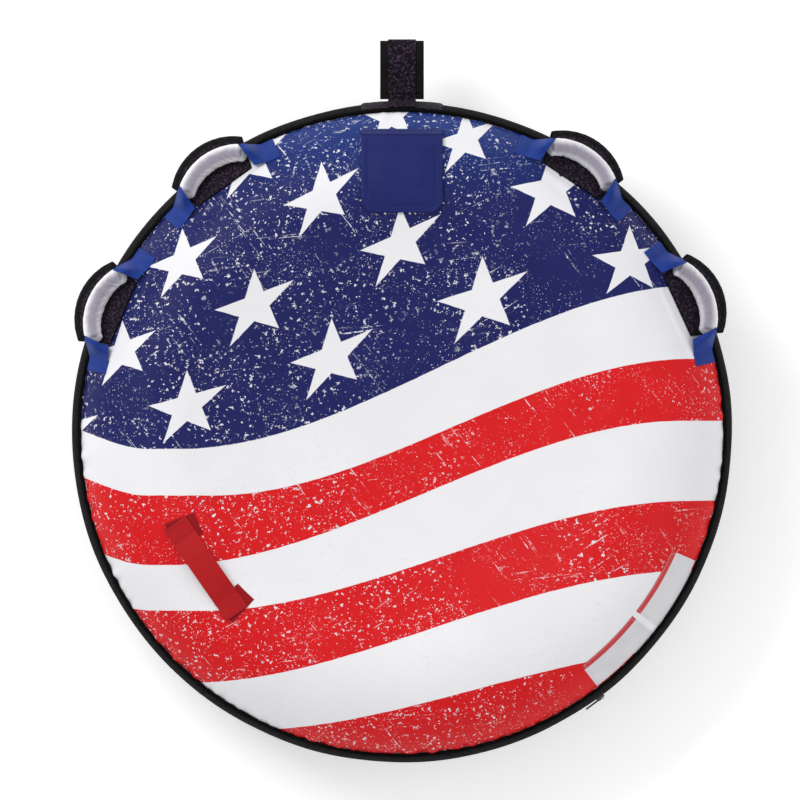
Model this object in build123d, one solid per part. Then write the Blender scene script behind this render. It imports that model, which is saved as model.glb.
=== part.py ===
from build123d import *
import os
from math import asin, atan2, cos, degrees, hypot, radians, sin, sqrt

# Round deck towable tube for one rider: an air bladder in a three-panel sewn cover, with four foam grips
# on webbing, a tow loop on the nose, a covered inflation valve, a rear zip and a boarding strap.
#
# Frame: millimetres, +Z up, origin on the ground under the middle of the tube, +Y towards the nose.
# The tube is a ring, so most pieces are given by the ring's own coordinates: the distance from the ring's
# centre circle, the elevation round its section (0 is the outermost line, 90 the crown) and the azimuth.

# Driving dimensions of the inflated tube
OUTER_D = 1200.0
SECTION_R = 170.0
CONTACT_DROP = 2.0  # how far the section is flattened where it rests on the ground
RING_R = OUTER_D / 2 - SECTION_R
CENTRE_Z = SECTION_R - CONTACT_DROP
PRINT_R = 582.0  # where the printed deck panel is sewn to the side band
SEAM_EL = degrees(asin(sqrt(1 - ((PRINT_R - RING_R) / SECTION_R) ** 2)))
DECK_LEAVES_EL = 106.0  # elevation at which the deck leaves the ring and spans the middle
FLOOR_LEAVES_EL = 104.0  # the same, for the floor panel, counted downwards
FABRIC_T = 1.2
BLADDER_T = 0.8
LIE_GAP = 0.1  # between a sewn-on layer and what it lies on
AIR_GAP = 0.5  # between the bladder and the cover

NOSE_AZ = 90.0
REAR_AZ = 270.0
WEBBING_T = 2.2

# Handles
HANDLES = {"front_left": 125.8, "side_left": 156.8, "side_right": 24.7, "front_right": 56.2}
HANDLE_EL = 45.6  # elevation of the line that each handle swings from
GRIP_R = 17.0
GRIP_BORE_R = 7.6
CORE_R = 7.0
GRIP_BEND_R = 81.0
GRIP_HALF_SPAN = 64.5
GRIP_MID_U = 46.0
GRIP_N = 26.0  # height of the grip's centreline over the plane that touches the ring
TAB_T = 2.4
ANCHOR_AZ = (10.1, 12.4)  # each side of the handle's middle
ANCHOR_EL = 35.0
ANCHOR_HALF_EL = 6.4
GUARD_T = 6.0

# Tow loop
TOW_HINGE_Y = 611.5
TOW_END_Y = 715.0
TOW_WEB_W = 51.0
TOW_LINER_W = 80.0
TOW_LINER_T = 1.5
TOW_EYE_HALF_H = 8.0

# Valve and its flap
VALVE_EL = 84.0
VALVE_HOLE_R = 27.0
FLAP_HALF_W = 73.5
FLAP_Y = (397.0, 536.5)
FLAP_CORNER_R = 25.0
FLAP_D = (176.0, 179.0)

# Zip
ZIP_EL = -12.0
ZIP_HALF_AZ = 38.0
SLIDER_AZ = REAR_AZ + ZIP_HALF_AZ - 1.2

# Boarding strap
BOARD_AZ = 214.7
BOARD_L = 198.0
BOARD_W = 47.0
BOARD_SEWN = 34.0
BOARD_RISE = 15.0

DRAIN_R = 120.0
DRAIN_COUNT = 4


def ring_point(dist, el, az=0.0):
    """The point at that distance from the ring's centre circle, elevation and azimuth."""
    r = RING_R + dist * cos(radians(el))
    z = CENTRE_Z + dist * sin(radians(el))
    return Vector(r * cos(radians(az)), r * sin(radians(az)), z)


def arc(dist, el0, el1):
    """An arc of the ring's section at azimuth 0."""
    return ThreePointArc(*(ring_point(dist, el) for el in (el0, (el0 + el1) / 2, el1)))


def sector(dist0, dist1, el0, el1):
    """A piece of the section's wall, as a face in the XZ plane."""
    outer, inner = arc(dist1, el0, el1), arc(dist0, el1, el0)
    return make_face([outer, Line(outer @ 1, inner @ 0), inner, Line(inner @ 1, outer @ 0)])


def spun(face, az0, az1):
    """A face in the XZ plane turned about Z, from one azimuth to the other."""
    return Rot(0, 0, az0) * revolve(face, Axis.Z, revolution_arc=az1 - az0)


def patch(dist0, dist1, el0, el1, az0, az1):
    """A curved patch that follows the ring's surface."""
    return spun(sector(dist0, dist1, el0, el1), az0, az1)


def at_azimuth(az):
    """A frame whose X points outwards at that azimuth, with its origin on the tube's axis."""
    return Location((0, 0, 0), (0, 0, az))


def handle_plane(az):
    """Each handle's own frame: x along the ring, y (u) outwards and down its side, z (n) away from it."""
    el, a = radians(HANDLE_EL), radians(az)
    n = (cos(el) * cos(a), cos(el) * sin(a), sin(el))
    return Plane(origin=ring_point(SECTION_R, HANDLE_EL, az), x_dir=(sin(a), -cos(a), 0), z_dir=n)


def valve_plane():
    """The valve's own frame: z along its axis, out of the cover."""
    el = radians(VALVE_EL)
    origin = ring_point(SECTION_R, VALVE_EL, NOSE_AZ)
    return Plane(origin=origin, x_dir=(1, 0, 0), z_dir=(0, cos(el), sin(el)))


def disc(radius, h0, h1, bore=0.0):
    """A disc or tube on the valve's axis, between two heights over the cover."""
    made = Pos(0, 0, h0) * extrude(Circle(radius), h1 - h0)
    if bore:
        made -= Pos(0, 0, h0 - 1) * extrude(Circle(bore), h1 - h0 + 2)
    return made


# ---- cover and bladder


def deck_panel():
    """The printed top: a dished deck that runs over the crown down to the top seam."""
    leave = DECK_LEAVES_EL
    apex = CENTRE_Z + RING_R / -cos(radians(leave)) * sin(radians(leave))
    span_r = RING_R / -cos(radians(leave)) - SECTION_R
    edges = []
    for dist, radius in ((SECTION_R, span_r), (SECTION_R - FABRIC_T, span_r + FABRIC_T)):
        rim = ring_point(dist, leave)
        half = radians(leave - 90) / 2
        mid = Vector(radius * sin(half), 0, apex - radius * cos(half))
        edges.append((ThreePointArc((0, 0, apex - radius), mid, rim), arc(dist, leave, SEAM_EL)))
    (span_out, ring_out), (span_in, ring_in) = edges
    outline = [span_out, ring_out, Line(ring_out @ 1, ring_in @ 1), ring_in, span_in]
    outline.append(Line(span_in @ 0, span_out @ 0))
    panel = revolve(make_face(outline), Axis.Z)
    valve_hole = valve_plane() * disc(VALVE_HOLE_R, -20, 20)
    return panel - valve_hole


def flat_reach(dist, z):
    """Half the width of the flat that a section of that size has at height z."""
    return sqrt(dist**2 - (CENTRE_Z - z) ** 2)


def floor_panel():
    """The underside: flat where it rests on the ground, arched up over the middle, with drain holes."""
    leave = -FLOOR_LEAVES_EL
    apex = CENTRE_Z + RING_R / -cos(radians(leave)) * sin(radians(leave))
    span_r = RING_R / -cos(radians(leave)) - SECTION_R
    sides = []
    for dist, radius, z in (
        (SECTION_R, span_r, 0.0),
        (SECTION_R - FABRIC_T, span_r + FABRIC_T, FABRIC_T),
    ):
        half_flat = flat_reach(dist, z)
        flat_el = degrees(asin((z - CENTRE_Z) / dist))
        outside = arc(dist, -SEAM_EL, flat_el)
        flat = Line((RING_R + half_flat, 0, z), (RING_R - half_flat, 0, z))
        inside = arc(dist, -180 - flat_el, leave)
        half = radians(FLOOR_LEAVES_EL - 90) / 2
        mid = Vector(radius * sin(half), 0, apex + radius * cos(half))
        span = ThreePointArc(inside @ 1, mid, (0, 0, apex + radius))
        sides.append([outside, flat, inside, span])
    under, over = sides
    outline = under + [Line(under[-1] @ 1, over[-1] @ 1)] + over[::-1]
    outline.append(Line(over[0] @ 0, under[0] @ 0))
    panel = revolve(make_face(outline), Axis.Z)
    for place in drain_places():
        panel -= place * disc(6.0, -5, 5)
    return panel


def side_panel():
    """The side band between the two seams, slit under the zip."""
    band = spun(sector(SECTION_R - FABRIC_T, SECTION_R, -SEAM_EL, SEAM_EL), 0, 360)
    slit_half_el, slit_az = 0.7, ZIP_HALF_AZ - 1
    slit = patch(
        SECTION_R - 2, SECTION_R + 1, ZIP_EL - slit_half_el, ZIP_EL + slit_half_el,
        REAR_AZ - slit_az, REAR_AZ + slit_az,
    )
    return band - slit


def bladder():
    """The welded air ring, flattened where it stands, with a hole for the valve."""

    def section(dist, z):
        half_flat = flat_reach(dist, z)
        flat_el = degrees(asin((z - CENTRE_Z) / dist))
        round_part = ThreePointArc(
            ring_point(dist, flat_el), ring_point(dist, 90), ring_point(dist, 180 - flat_el)
        )
        flat = Line((RING_R - half_flat, 0, z), (RING_R + half_flat, 0, z))
        return make_face([round_part, flat])

    out_d, out_z = SECTION_R - FABRIC_T - AIR_GAP, FABRIC_T + AIR_GAP
    wall = section(out_d, out_z) - section(out_d - BLADDER_T, out_z + BLADDER_T)
    return revolve(wall, Axis.Z) - valve_plane() * disc(23.4, -20, 20)


def seam_piping(side):
    """The welt cord in the top (side 1) or bottom (side -1) seam."""
    cord_r = 3.5
    centre = ring_point(SECTION_R + cord_r + LIE_GAP, side * SEAM_EL)
    section = Plane.XZ.offset(0) * Pos(centre.X, centre.Z) * Circle(cord_r)
    return revolve(section, Axis.Z)


def drain_places():
    """Frames of the floor's drain holes, each with z out of the underside."""
    leave = radians(-FLOOR_LEAVES_EL)
    apex = CENTRE_Z + RING_R / -cos(leave) * sin(leave)
    span_r = RING_R / -cos(leave) - SECTION_R
    tilt = asin(DRAIN_R / span_r)
    places = []
    for i in range(DRAIN_COUNT):
        a = radians(45 + i * 360 / DRAIN_COUNT)
        origin = (DRAIN_R * cos(a), DRAIN_R * sin(a), apex + span_r * cos(tilt))
        out = (-sin(tilt) * cos(a), -sin(tilt) * sin(a), -cos(tilt))
        places.append(Plane(origin=origin, x_dir=(-sin(a), cos(a), 0), z_dir=out))
    return places


def drain_eyelets():
    """Pressed eyelets: a barrel through the floor with a flange outside and one inside."""
    bore_r = 4.8
    rings = []
    for place in drain_places():
        eyelet = disc(5.8, -FABRIC_T - 1.0, 1.0, bore_r)
        eyelet += disc(10.0, 0.05, 1.1, bore_r) + disc(9.0, -FABRIC_T - 1.1, -FABRIC_T - 0.05, bore_r)
        rings.append(place * eyelet)
    return Compound(children=rings)


def label_panels():
    """Two plain sewn-on panels, side by side on the right shoulder towards the rear."""
    el0, el1 = 28.6, 53.5
    sides = ((-52.5, -38.4), (-37.4, -23.5))
    return Compound(children=[patch(170.05, 170.6, el0, el1, a, b) for a, b in sides])


# ---- handles


def guard(az):
    """The padded guard behind the grip: straight along the handle's swing line, round outside."""
    el = radians(HANDLE_EL)
    u, n = Vector(sin(el), 0, -cos(el)), Vector(cos(el), 0, sin(el))
    touch = ring_point(SECTION_R, HANDLE_EL)
    lift = 0.4
    corners = [touch + u * s + n * d for s, d in
               ((-8, lift), (130, lift), (130, lift + GUARD_T), (-8, lift + GUARD_T))]
    cone = spun(make_face(Polyline(*corners, close=True)), -11, 11)
    inner, wing, wing_half, tip = 546.0, 603.0, 79.0, 636.0
    inner_half = 60.0
    edge = ThreePointArc((wing, wing_half), (tip, 0), (wing, -wing_half))
    rest = Polyline((wing, -wing_half), (inner, -inner_half), (inner, inner_half), (wing, wing_half))
    column = extrude(make_face([edge, *rest.edges()]), 400)
    return at_azimuth(az) * (cone & column)


def grip(az):
    """A bent foam tube over the webbing."""
    made = bent_rod(GRIP_R, grip_end_angle())
    made = fillet(made.edges().filter_by(GeomType.CIRCLE), 3.5)
    made -= bent_rod(GRIP_BORE_R, grip_end_angle() + 3)
    return handle_plane(az) * made


def grip_end_angle():
    return degrees(asin(GRIP_HALF_SPAN / GRIP_BEND_R))


def bent_rod(radius, half_angle):
    """A rod along the grip's arc, in the handle's frame."""
    centre_u = GRIP_MID_U - GRIP_BEND_R
    section = Plane.XZ * Pos(GRIP_BEND_R, 0) * Circle(radius)
    bent = revolve(section, Axis.Z, revolution_arc=2 * half_angle)
    return Pos(0, centre_u, GRIP_N) * Rot(0, 0, 90 - half_angle) * bent


def strap(az):
    """The handle's webbing: rolled inside the grip, and a flat run from each end down to its anchor."""
    core = bent_rod(CORE_R, grip_end_angle() + 2)
    turn = radians(grip_end_angle())
    end = Vector(GRIP_BEND_R * sin(turn), GRIP_MID_U - GRIP_BEND_R * (1 - cos(turn)), GRIP_N)
    start = end + Vector(cos(turn), -sin(turn), 0) * (TAB_T / 2 + 0.4)
    across = Vector(sin(turn), cos(turn), 0) * GRIP_R
    up = Vector(0, 0, 1)
    run_edge, gap = ANCHOR_AZ[0], 1.4
    to_local = handle_plane(0).location.inverse()
    edge = [ring_point(SECTION_R + LIE_GAP + gap, ANCHOR_EL + side * ANCHOR_HALF_EL, run_edge - 0.06)
            for side in (1, -1)]
    inner, outer = [(to_local * Pos(*p)).position for p in edge]
    inner, outer = Vector(-inner.X, inner.Y, inner.Z), Vector(-outer.X, outer.Y, outer.Z)
    near = make_face(Polyline(start - across - up * TAB_T / 2, start + across - up * TAB_T / 2,
                              start + across + up * TAB_T / 2, start - across + up * TAB_T / 2, close=True))
    far = make_face(Polyline(inner, outer, outer + up * TAB_T, inner + up * TAB_T, close=True))
    tab = loft([near, far], ruled=True)
    return handle_plane(az) * (core + tab + mirror(tab, Plane.YZ))


def handle_anchors(az):
    """The sewn-down ends of the handle's webbing, one each side."""
    inner, outer = ANCHOR_AZ
    el0, el1 = ANCHOR_EL - ANCHOR_HALF_EL, ANCHOR_EL + ANCHOR_HALF_EL
    low, high = SECTION_R + LIE_GAP, SECTION_R + LIE_GAP + WEBBING_T
    ends = [patch(low, high, el0, el1, az + a, az + b) for a, b in ((inner, outer), (-outer, -inner))]
    return Compound(children=ends)


# ---- tow point


def nose_patch():
    """The padded patch on the nose that spreads the tow load over the side band."""
    half_el, half_az = 24.0, 7.2
    return patch(170.1, 173.1, -half_el, half_el, NOSE_AZ - half_az, NOSE_AZ + half_az)


def tow_harness():
    """The load webbing: down the nose patch, and on under the bottom seam."""
    half_az = 2.43
    span = (NOSE_AZ - half_az, NOSE_AZ + half_az)
    over_patch = patch(173.2, 175.2, -23.5, 23.5, *span)
    under = patch(170.1, 172.3, -62.0, -29.5, *span)
    return Compound(children=[over_patch, under])


def tow_root():
    """The fold of webbing that the tow loop hangs from."""
    return Pos(0, 607.2, CENTRE_Z) * Box(TOW_WEB_W, 3.4, 9.0)


def loop_outline(grow):
    """The tow loop's side outline in (y, z), grown outwards from its eye."""
    throat, shoulder, end_r = 645.0, 674.0, TOW_EYE_HALF_H + grow
    end_y = TOW_END_Y - TOW_EYE_HALF_H - 4.0
    top = [(throat, grow), (shoulder, end_r), (end_y, end_r)]
    bottom = [(y, -z) for y, z in reversed(top)]
    nose = ThreePointArc(top[-1], (end_y + end_r, 0), bottom[0])
    if grow:
        start = TOW_HINGE_Y + 4.0
        rest = Polyline(bottom[0], bottom[1], bottom[2], (start, -grow), (start, grow), *top)
    else:
        rest = Polyline(bottom[0], bottom[1], (throat, 0), top[1], top[2])
    return make_face([nose, *rest.edges()])


def looped(inner, outer, width):
    """One layer of the tow loop, between two growths of its outline."""
    face = loop_outline(outer) - loop_outline(inner)
    side = Plane(origin=(-width / 2, 0, CENTRE_Z), x_dir=(0, 1, 0), z_dir=(1, 0, 0))
    return side * extrude(face, width)


def tow_liner():
    """The wide wear layer that lines the loop's eye."""
    return looped(0, TOW_LINER_T, TOW_LINER_W)


def tow_webbing():
    """The load webbing round the outside of the liner."""
    return looped(TOW_LINER_T + LIE_GAP, TOW_LINER_T + LIE_GAP + 2.4, TOW_WEB_W)


# ---- valve


def valve_base():
    """The welded flange inside the bladder, with the threaded neck that stands through it."""
    inside = SECTION_R - FABRIC_T - AIR_GAP - BLADDER_T - 0.05
    flange = patch(inside - 1.6, inside, 70, 100, NOSE_AZ - 8, NOSE_AZ + 8)
    trimmed = flange & (valve_plane() * disc(36, -20, 20))
    return trimmed - valve_plane() * disc(20.2, -30, 20) + valve_plane() * disc(23, -26, -1.35, 20.2)


def valve_insert():
    """The screwed-in insert: a rim, a well for the cap and the bored seat that a pump nozzle enters."""
    made = disc(20.0, -24, -1.25, 17.6) + disc(23, -1.25, 0.8, 17.8) + disc(18.5, -12, -2.2, 11)
    return valve_plane() * made


def check_flapper():
    """The rubber flap under the seat that holds the air in."""
    return valve_plane() * (disc(13.0, -13.5, -12.4))


def valve_cap():
    """The screw cap, with finger notches and a raised bar."""
    knob_r = 18.8
    made = disc(knob_r, 0.9, 3.3) + disc(17.3, -1.9, 0.9)
    notch = Pos(knob_r + 1.2, 0, 0) * disc(2.2, 1.4, 6)
    for i in range(18):
        made -= Rot(0, 0, i * 20) * notch
    made += Pos(0, 0, 3.8) * Box(26, 5, 1.2)
    return valve_plane() * made


def keeper_ring():
    """The moulded ring round the insert's rim, with the lug that the cap's link bends from."""
    return valve_plane() * (disc(26.2, -0.9, 0.4, 23.3) + Pos(24.8, 0, 0.55) * Box(2.8, 6.0, 0.9))


def cap_link():
    """The moulded link: a ring under the cap's edge and the strip that joins it to the keeper ring."""
    return valve_plane() * (disc(22.4, 1.3, 2.5, 19.1) + Pos(24.05, 0, 1.9) * Box(4.3, 6.0, 1.2))


def flap_outline(inset, y_front):
    """The flap's plan outline: straight at the front, rounded at the rear."""
    half, rear = FLAP_HALF_W - inset, FLAP_Y[0] + inset
    outline = Pos(0, (rear + y_front) / 2) * Rectangle(2 * half, y_front - rear)
    rear_corners = outline.vertices().sort_by(Axis.Y)[:2]
    return fillet(rear_corners, FLAP_CORNER_R - inset)


def over_ring(face, dist0, dist1):
    """The part of a plan outline that lies between two distances from the ring, on its crown."""
    shell = patch(dist0, dist1, 40, 110, NOSE_AZ - 16, NOSE_AZ + 16)
    return shell & (Pos(0, 0, 150) * extrude(face, 250))


def valve_flap():
    return over_ring(flap_outline(0, FLAP_Y[1]), *FLAP_D)


def flap_strip(dist0, dist1):
    """A band of hook-and-loop along the flap's two sides and its rear edge."""
    front = FLAP_Y[1] - 12
    band = flap_outline(2, front) - flap_outline(15, front + 5)
    return over_ring(band, dist0, dist1)


def flap_hem():
    """The sewn front hem that the flap folds from."""
    front, depth = FLAP_Y[1] + 3, 9.0
    return over_ring(Pos(0, front + depth / 2) * Rectangle(2 * FLAP_HALF_W, depth), 170.1, 175.0)


# ---- zip


def zip_span(inset=0.0):
    return REAR_AZ - ZIP_HALF_AZ + inset, REAR_AZ + ZIP_HALF_AZ - inset


def zip_tape(side):
    """One woven tape, above (side 1) or below (side -1) the coil."""
    near, far = ZIP_EL + side * 0.8, ZIP_EL + side * 5.5
    return patch(170.1, 171.1, min(near, far), max(near, far), *zip_span(-1.5))


def zip_coil():
    """The closed coil, as one round rod."""
    centre = ring_point(172.6, ZIP_EL)
    az0, az1 = zip_span(0.6)
    section = Plane.XZ * Pos(centre.X, centre.Z) * Circle(2.2)
    return Rot(0, 0, az0) * revolve(section, Axis.Z, revolution_arc=az1 - az0)


def zip_stops():
    """The two end stops of the coil."""
    low, high = zip_span()
    ends = ((low + 0.05, low + 0.5), (high - 0.5, high - 0.05))
    return Compound(children=[patch(171.3, 174.9, ZIP_EL - 0.9, ZIP_EL + 0.9, a, b) for a, b in ends])


def zip_end_tabs():
    """The fabric tabs sewn over both ends of the tapes."""
    low, high = zip_span(-1.6)
    ends = ((low - 2.4, low), (high, high + 2.4))
    return Compound(children=[patch(170.1, 171.5, ZIP_EL - 5.5, ZIP_EL + 5.5, a, b) for a, b in ends])


def slider_plane():
    """The slider's frame on top of its plate: x along the zip, y up the side, z outwards."""
    a, el = radians(SLIDER_AZ), radians(ZIP_EL)
    out = (cos(el) * cos(a), cos(el) * sin(a), sin(el))
    return Plane(origin=ring_point(177.4, ZIP_EL, SLIDER_AZ), x_dir=(sin(a), -cos(a), 0), z_dir=out)


def zip_slider():
    """A plate over the coil with a skirt each side of it, and a bridge that holds the pull."""
    az = (SLIDER_AZ - 0.8, SLIDER_AZ + 0.8)
    made = patch(175.1, 177.4, ZIP_EL - 2.1, ZIP_EL + 2.1, *az)
    made += patch(171.4, 175.2, ZIP_EL - 2.1, ZIP_EL - 1.15, *az)
    made += patch(171.4, 175.2, ZIP_EL + 1.15, ZIP_EL + 2.1, *az)
    bridge = Pos(0, 0, 2.9) * Box(12, 3, 1)
    for x in (-5.5, 5.5):
        bridge += Pos(x, 0, 1.1) * Box(1, 3, 2.8)
    return made + slider_plane() * bridge


def zip_pull():
    """The pull: a cross bar under the bridge, two arms and a tab with a hole."""
    bar = Pos(0, 0, 1.3) * Rot(90, 0, 0) * Cylinder(0.85, 8)
    made = bar
    for y in (-3.2, 3.2):
        made += Pos(4.5, y, 1.3) * Box(9, 1.6, 1.4)
    tab = Pos(21, 0, 1.3) * Box(26, 8, 1.4)
    tab = fillet(tab.edges().filter_by(Axis.Z).sort_by(Axis.X)[-2:], 3.5)
    tab -= Pos(29, 0, 0) * Cylinder(1.8, 8)
    return slider_plane() * (made + tab)


# ---- boarding strap


def boarding_plane():
    """The strap's frame: x along the ring, y outwards, z up from the crown."""
    a = radians(BOARD_AZ)
    origin = (RING_R * cos(a), RING_R * sin(a), CENTRE_Z + SECTION_R)
    return Plane(origin=origin, x_dir=(sin(a), -cos(a), 0), z_dir=(0, 0, 1))


def boarding_strap():
    """Flat webbing sewn down at both ends, bowed up between them for the fingers."""
    half, sewn, base = BOARD_L / 2, BOARD_L / 2 - BOARD_SEWN, 1.6

    def side(lift):
        bow = ThreePointArc((-sewn, base + lift), (0, base + BOARD_RISE + lift), (sewn, base + lift))
        return Line((-half, base + lift), (-sewn, base + lift)), bow, Line((sewn, base + lift), (half, base + lift))

    low, high = side(0), side(WEBBING_T)
    ends = [Line(high[2] @ 1, low[2] @ 1), Line(low[0] @ 0, high[0] @ 0)]
    profile = make_face([*low, *high, *ends])
    return boarding_plane() * Pos(0, BOARD_W / 2, 0) * extrude(Plane.XZ * profile, BOARD_W)


def boarding_patches():
    """The reinforcing patches under the strap's sewn ends."""
    half_az = degrees(atan2(BOARD_L / 2 + 6, RING_R))
    depth_az = degrees(atan2(BOARD_SEWN + 10, RING_R))
    half_el = degrees((BOARD_W / 2 + 5) / SECTION_R)
    spans = ((-half_az, -half_az + depth_az), (half_az - depth_az, half_az))
    return Compound(children=[
        patch(170.1, 171.4, 90 - half_el, 90 + half_el, BOARD_AZ + a, BOARD_AZ + b) for a, b in spans])


def write(name, shape):
    """Writes one node's STEP file."""
    solids = shape.solids()
    export_step(solids[0] if len(solids) == 1 else Compound(children=list(solids)), f"parts/{name}.step")


def main():
    os.makedirs("parts", exist_ok=True)
    nodes = {
        "bladder": bladder(),
        "cover_top": deck_panel(),
        "cover_side": side_panel(),
        "cover_bottom": floor_panel(),
        "seam_piping_top": seam_piping(1),
        "seam_piping_bottom": seam_piping(-1),
        "drain_eyelets": drain_eyelets(),
        "label_panels": label_panels(),
        "nose_patch": nose_patch(),
        "tow_harness": tow_harness(),
        "tow_root": tow_root(),
        "tow_liner": tow_liner(),
        "tow_webbing": tow_webbing(),
        "valve_base": valve_base(),
        "valve_insert": valve_insert(),
        "check_flapper": check_flapper(),
        "valve_cap": valve_cap(),
        "keeper_ring": keeper_ring(),
        "cap_link": cap_link(),
        "valve_flap": valve_flap(),
        "flap_hook_strip": flap_strip(173.1, 175.95),
        "flap_loop_strip": flap_strip(170.1, 172.9),
        "flap_hem": flap_hem(),
        "zip_tape_upper": zip_tape(1),
        "zip_tape_lower": zip_tape(-1),
        "zip_coil": zip_coil(),
        "zip_stops": zip_stops(),
        "zip_end_tabs": zip_end_tabs(),
        "zip_slider": zip_slider(),
        "zip_pull": zip_pull(),
        "boarding_strap": boarding_strap(),
        "boarding_patches": boarding_patches(),
    }
    for side, az in HANDLES.items():
        nodes[f"knuckle_guard_{side}"] = guard(az)
        nodes[f"handle_anchors_{side}"] = handle_anchors(az)
        nodes[f"handle_strap_{side}"] = strap(az)
        nodes[f"handle_grip_{side}"] = grip(az)
    for name, shape in nodes.items():
        write(name, shape)


main()
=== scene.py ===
"""Looks for the towable tube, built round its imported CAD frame. Metres, +Z up, +Y towards the nose.

The tube is a ring, so a place on it is given by its distance from the ring's centre circle, its elevation
round the section (0 the outermost line, 90 the crown, both in degrees) and its azimuth.
"""

import math

import bpy
import numpy as np
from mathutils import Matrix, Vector


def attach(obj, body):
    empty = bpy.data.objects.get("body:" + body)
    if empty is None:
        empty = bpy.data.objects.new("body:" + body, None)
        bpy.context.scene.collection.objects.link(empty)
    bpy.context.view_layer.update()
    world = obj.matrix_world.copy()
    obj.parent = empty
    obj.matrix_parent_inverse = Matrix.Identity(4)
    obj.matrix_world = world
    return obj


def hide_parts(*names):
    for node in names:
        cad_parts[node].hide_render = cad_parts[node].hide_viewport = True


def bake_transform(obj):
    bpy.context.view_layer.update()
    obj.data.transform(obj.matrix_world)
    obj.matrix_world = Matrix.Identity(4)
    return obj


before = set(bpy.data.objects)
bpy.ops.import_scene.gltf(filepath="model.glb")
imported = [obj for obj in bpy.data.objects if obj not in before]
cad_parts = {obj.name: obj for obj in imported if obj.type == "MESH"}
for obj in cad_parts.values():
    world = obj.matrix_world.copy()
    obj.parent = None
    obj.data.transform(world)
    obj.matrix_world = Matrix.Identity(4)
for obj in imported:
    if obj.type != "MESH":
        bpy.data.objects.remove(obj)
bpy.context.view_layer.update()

# Metres and degrees. ON_COVER alone is in mm: the cover's outer face, from the ring's centre circle. A panel
# leaves the tube for the middle at the elevation DECK_LEAVES or FLOOR_LEAVES.
MM = 0.001
RING = 0.430
TUBE = 0.170
MID_Z = 0.168
SEAM_EL = 26.6
DECK_LEAVES = 106.0
FLOOR_LEAVES = 104.0
HANDLES = {"front_left": 125.8, "side_left": 156.8, "side_right": 24.7, "front_right": 56.2}
HANDLE_EL, ANCHOR_EL = 45.6, 37.9
NOSE, REAR = 90.0, 270.0
VALVE_EL, VALVE_HOLE_R = 84.0, 0.0272
ZIP_EL, ZIP_HALF_AZ = -12.0, 38.0
BOARD_AZ = 214.7
FLAP_HALF, FLAP_REAR, FLAP_FRONT, FLAP_CORNER = 0.0735, 0.397, 0.5365, 0.025
WEB_WIDE, LINER_WIDE = 0.0508, 0.0795
DRAIN_AT, DRAIN_R = 0.120, 0.0066
ON_COVER = 170.15
PIPING_R = 0.0034
PRINT_SCALE = 1.006
LENS, SENSOR = 500.0, 36.0


# ---- places


def cos_deg(angle):
    return np.cos(np.radians(angle))


def sin_deg(angle):
    return np.sin(np.radians(angle))


def ring_point(dist, el, az):
    """Points at those distances, elevations and azimuths; any of them may be an array."""
    el, az = np.radians(el), np.radians(az)
    r = RING + dist * np.cos(el)
    return np.stack(np.broadcast_arrays(r * np.cos(az), r * np.sin(az), MID_Z + dist * np.sin(el)), -1)


def ring_normal(el, az):
    """The direction away from the tube there."""
    el, az = np.radians(el), np.radians(az)
    return np.stack(np.broadcast_arrays(np.cos(el) * np.cos(az), np.cos(el) * np.sin(az), np.sin(el)), -1)


def handle_axes(az):
    """Origin and axes of a handle's own frame: x along the ring, u down its side, n away from it."""
    el, a = math.radians(HANDLE_EL), math.radians(az)
    x = np.array([math.sin(a), -math.cos(a), 0.0])
    n = np.array([math.cos(el) * math.cos(a), math.cos(el) * math.sin(a), math.sin(el)])
    return ring_point(TUBE, HANDLE_EL, az), x, np.cross(n, x), n


def in_handle(az, points):
    """Points of a handle's own frame (x, u, n in mm), in the row frame."""
    origin, x, u, n = handle_axes(az)
    p = np.asarray(points, float) * MM
    return origin + p[..., 0:1] * x + p[..., 1:2] * u + p[..., 2:3] * n


def valve_axes():
    """Origin and axes of the valve: x to the right, y towards the nose, z out of the tube."""
    el = math.radians(VALVE_EL)
    z = np.array([0.0, math.cos(el), math.sin(el)])
    x = np.array([1.0, 0.0, 0.0])
    return ring_point(TUBE, VALVE_EL, NOSE), x, np.cross(z, x), z


def repeated(direction, count):
    """One direction, count times over."""
    return np.repeat([np.array(direction, float)], count, 0)


def smooth(t, a=0.0, b=1.0):
    """0 at a, 1 at b, with a soft start and end."""
    t = np.clip((np.asarray(t, float) - a) / (b - a), 0, 1)
    return t * t * (3 - 2 * t)


def bell(x, width):
    """1 at 0, falling to 0 on both sides."""
    return np.exp(-((x / width) ** 2))


def ripple(x, seed, waves=6, low=1.0, high=3.0):
    """A smooth repeatable wander of about 1 either way, for angles in radians or lengths."""
    r = np.random.default_rng(seed)
    total = 0.0
    for k in range(waves):
        f = low + (high - low) * (k + r.random()) / waves
        total = total + r.uniform(0.5, 1) * np.sin(f * x + r.uniform(0, 6.283))
    return total / (0.55 * waves**0.5 * 1.4)


def ring_ripple(az_deg, seed, low, high, waves=10):
    """The same round the ring, with whole numbers of waves, so that it closes."""
    r = np.random.default_rng(seed)
    a = np.radians(az_deg)
    total = 0.0
    for _ in range(waves):
        total = total + r.uniform(0.5, 1) * np.sin(int(r.integers(low, high)) * a + r.uniform(0, 6.283))
    return total / (0.77 * waves**0.5)


# ---- meshes


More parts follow.
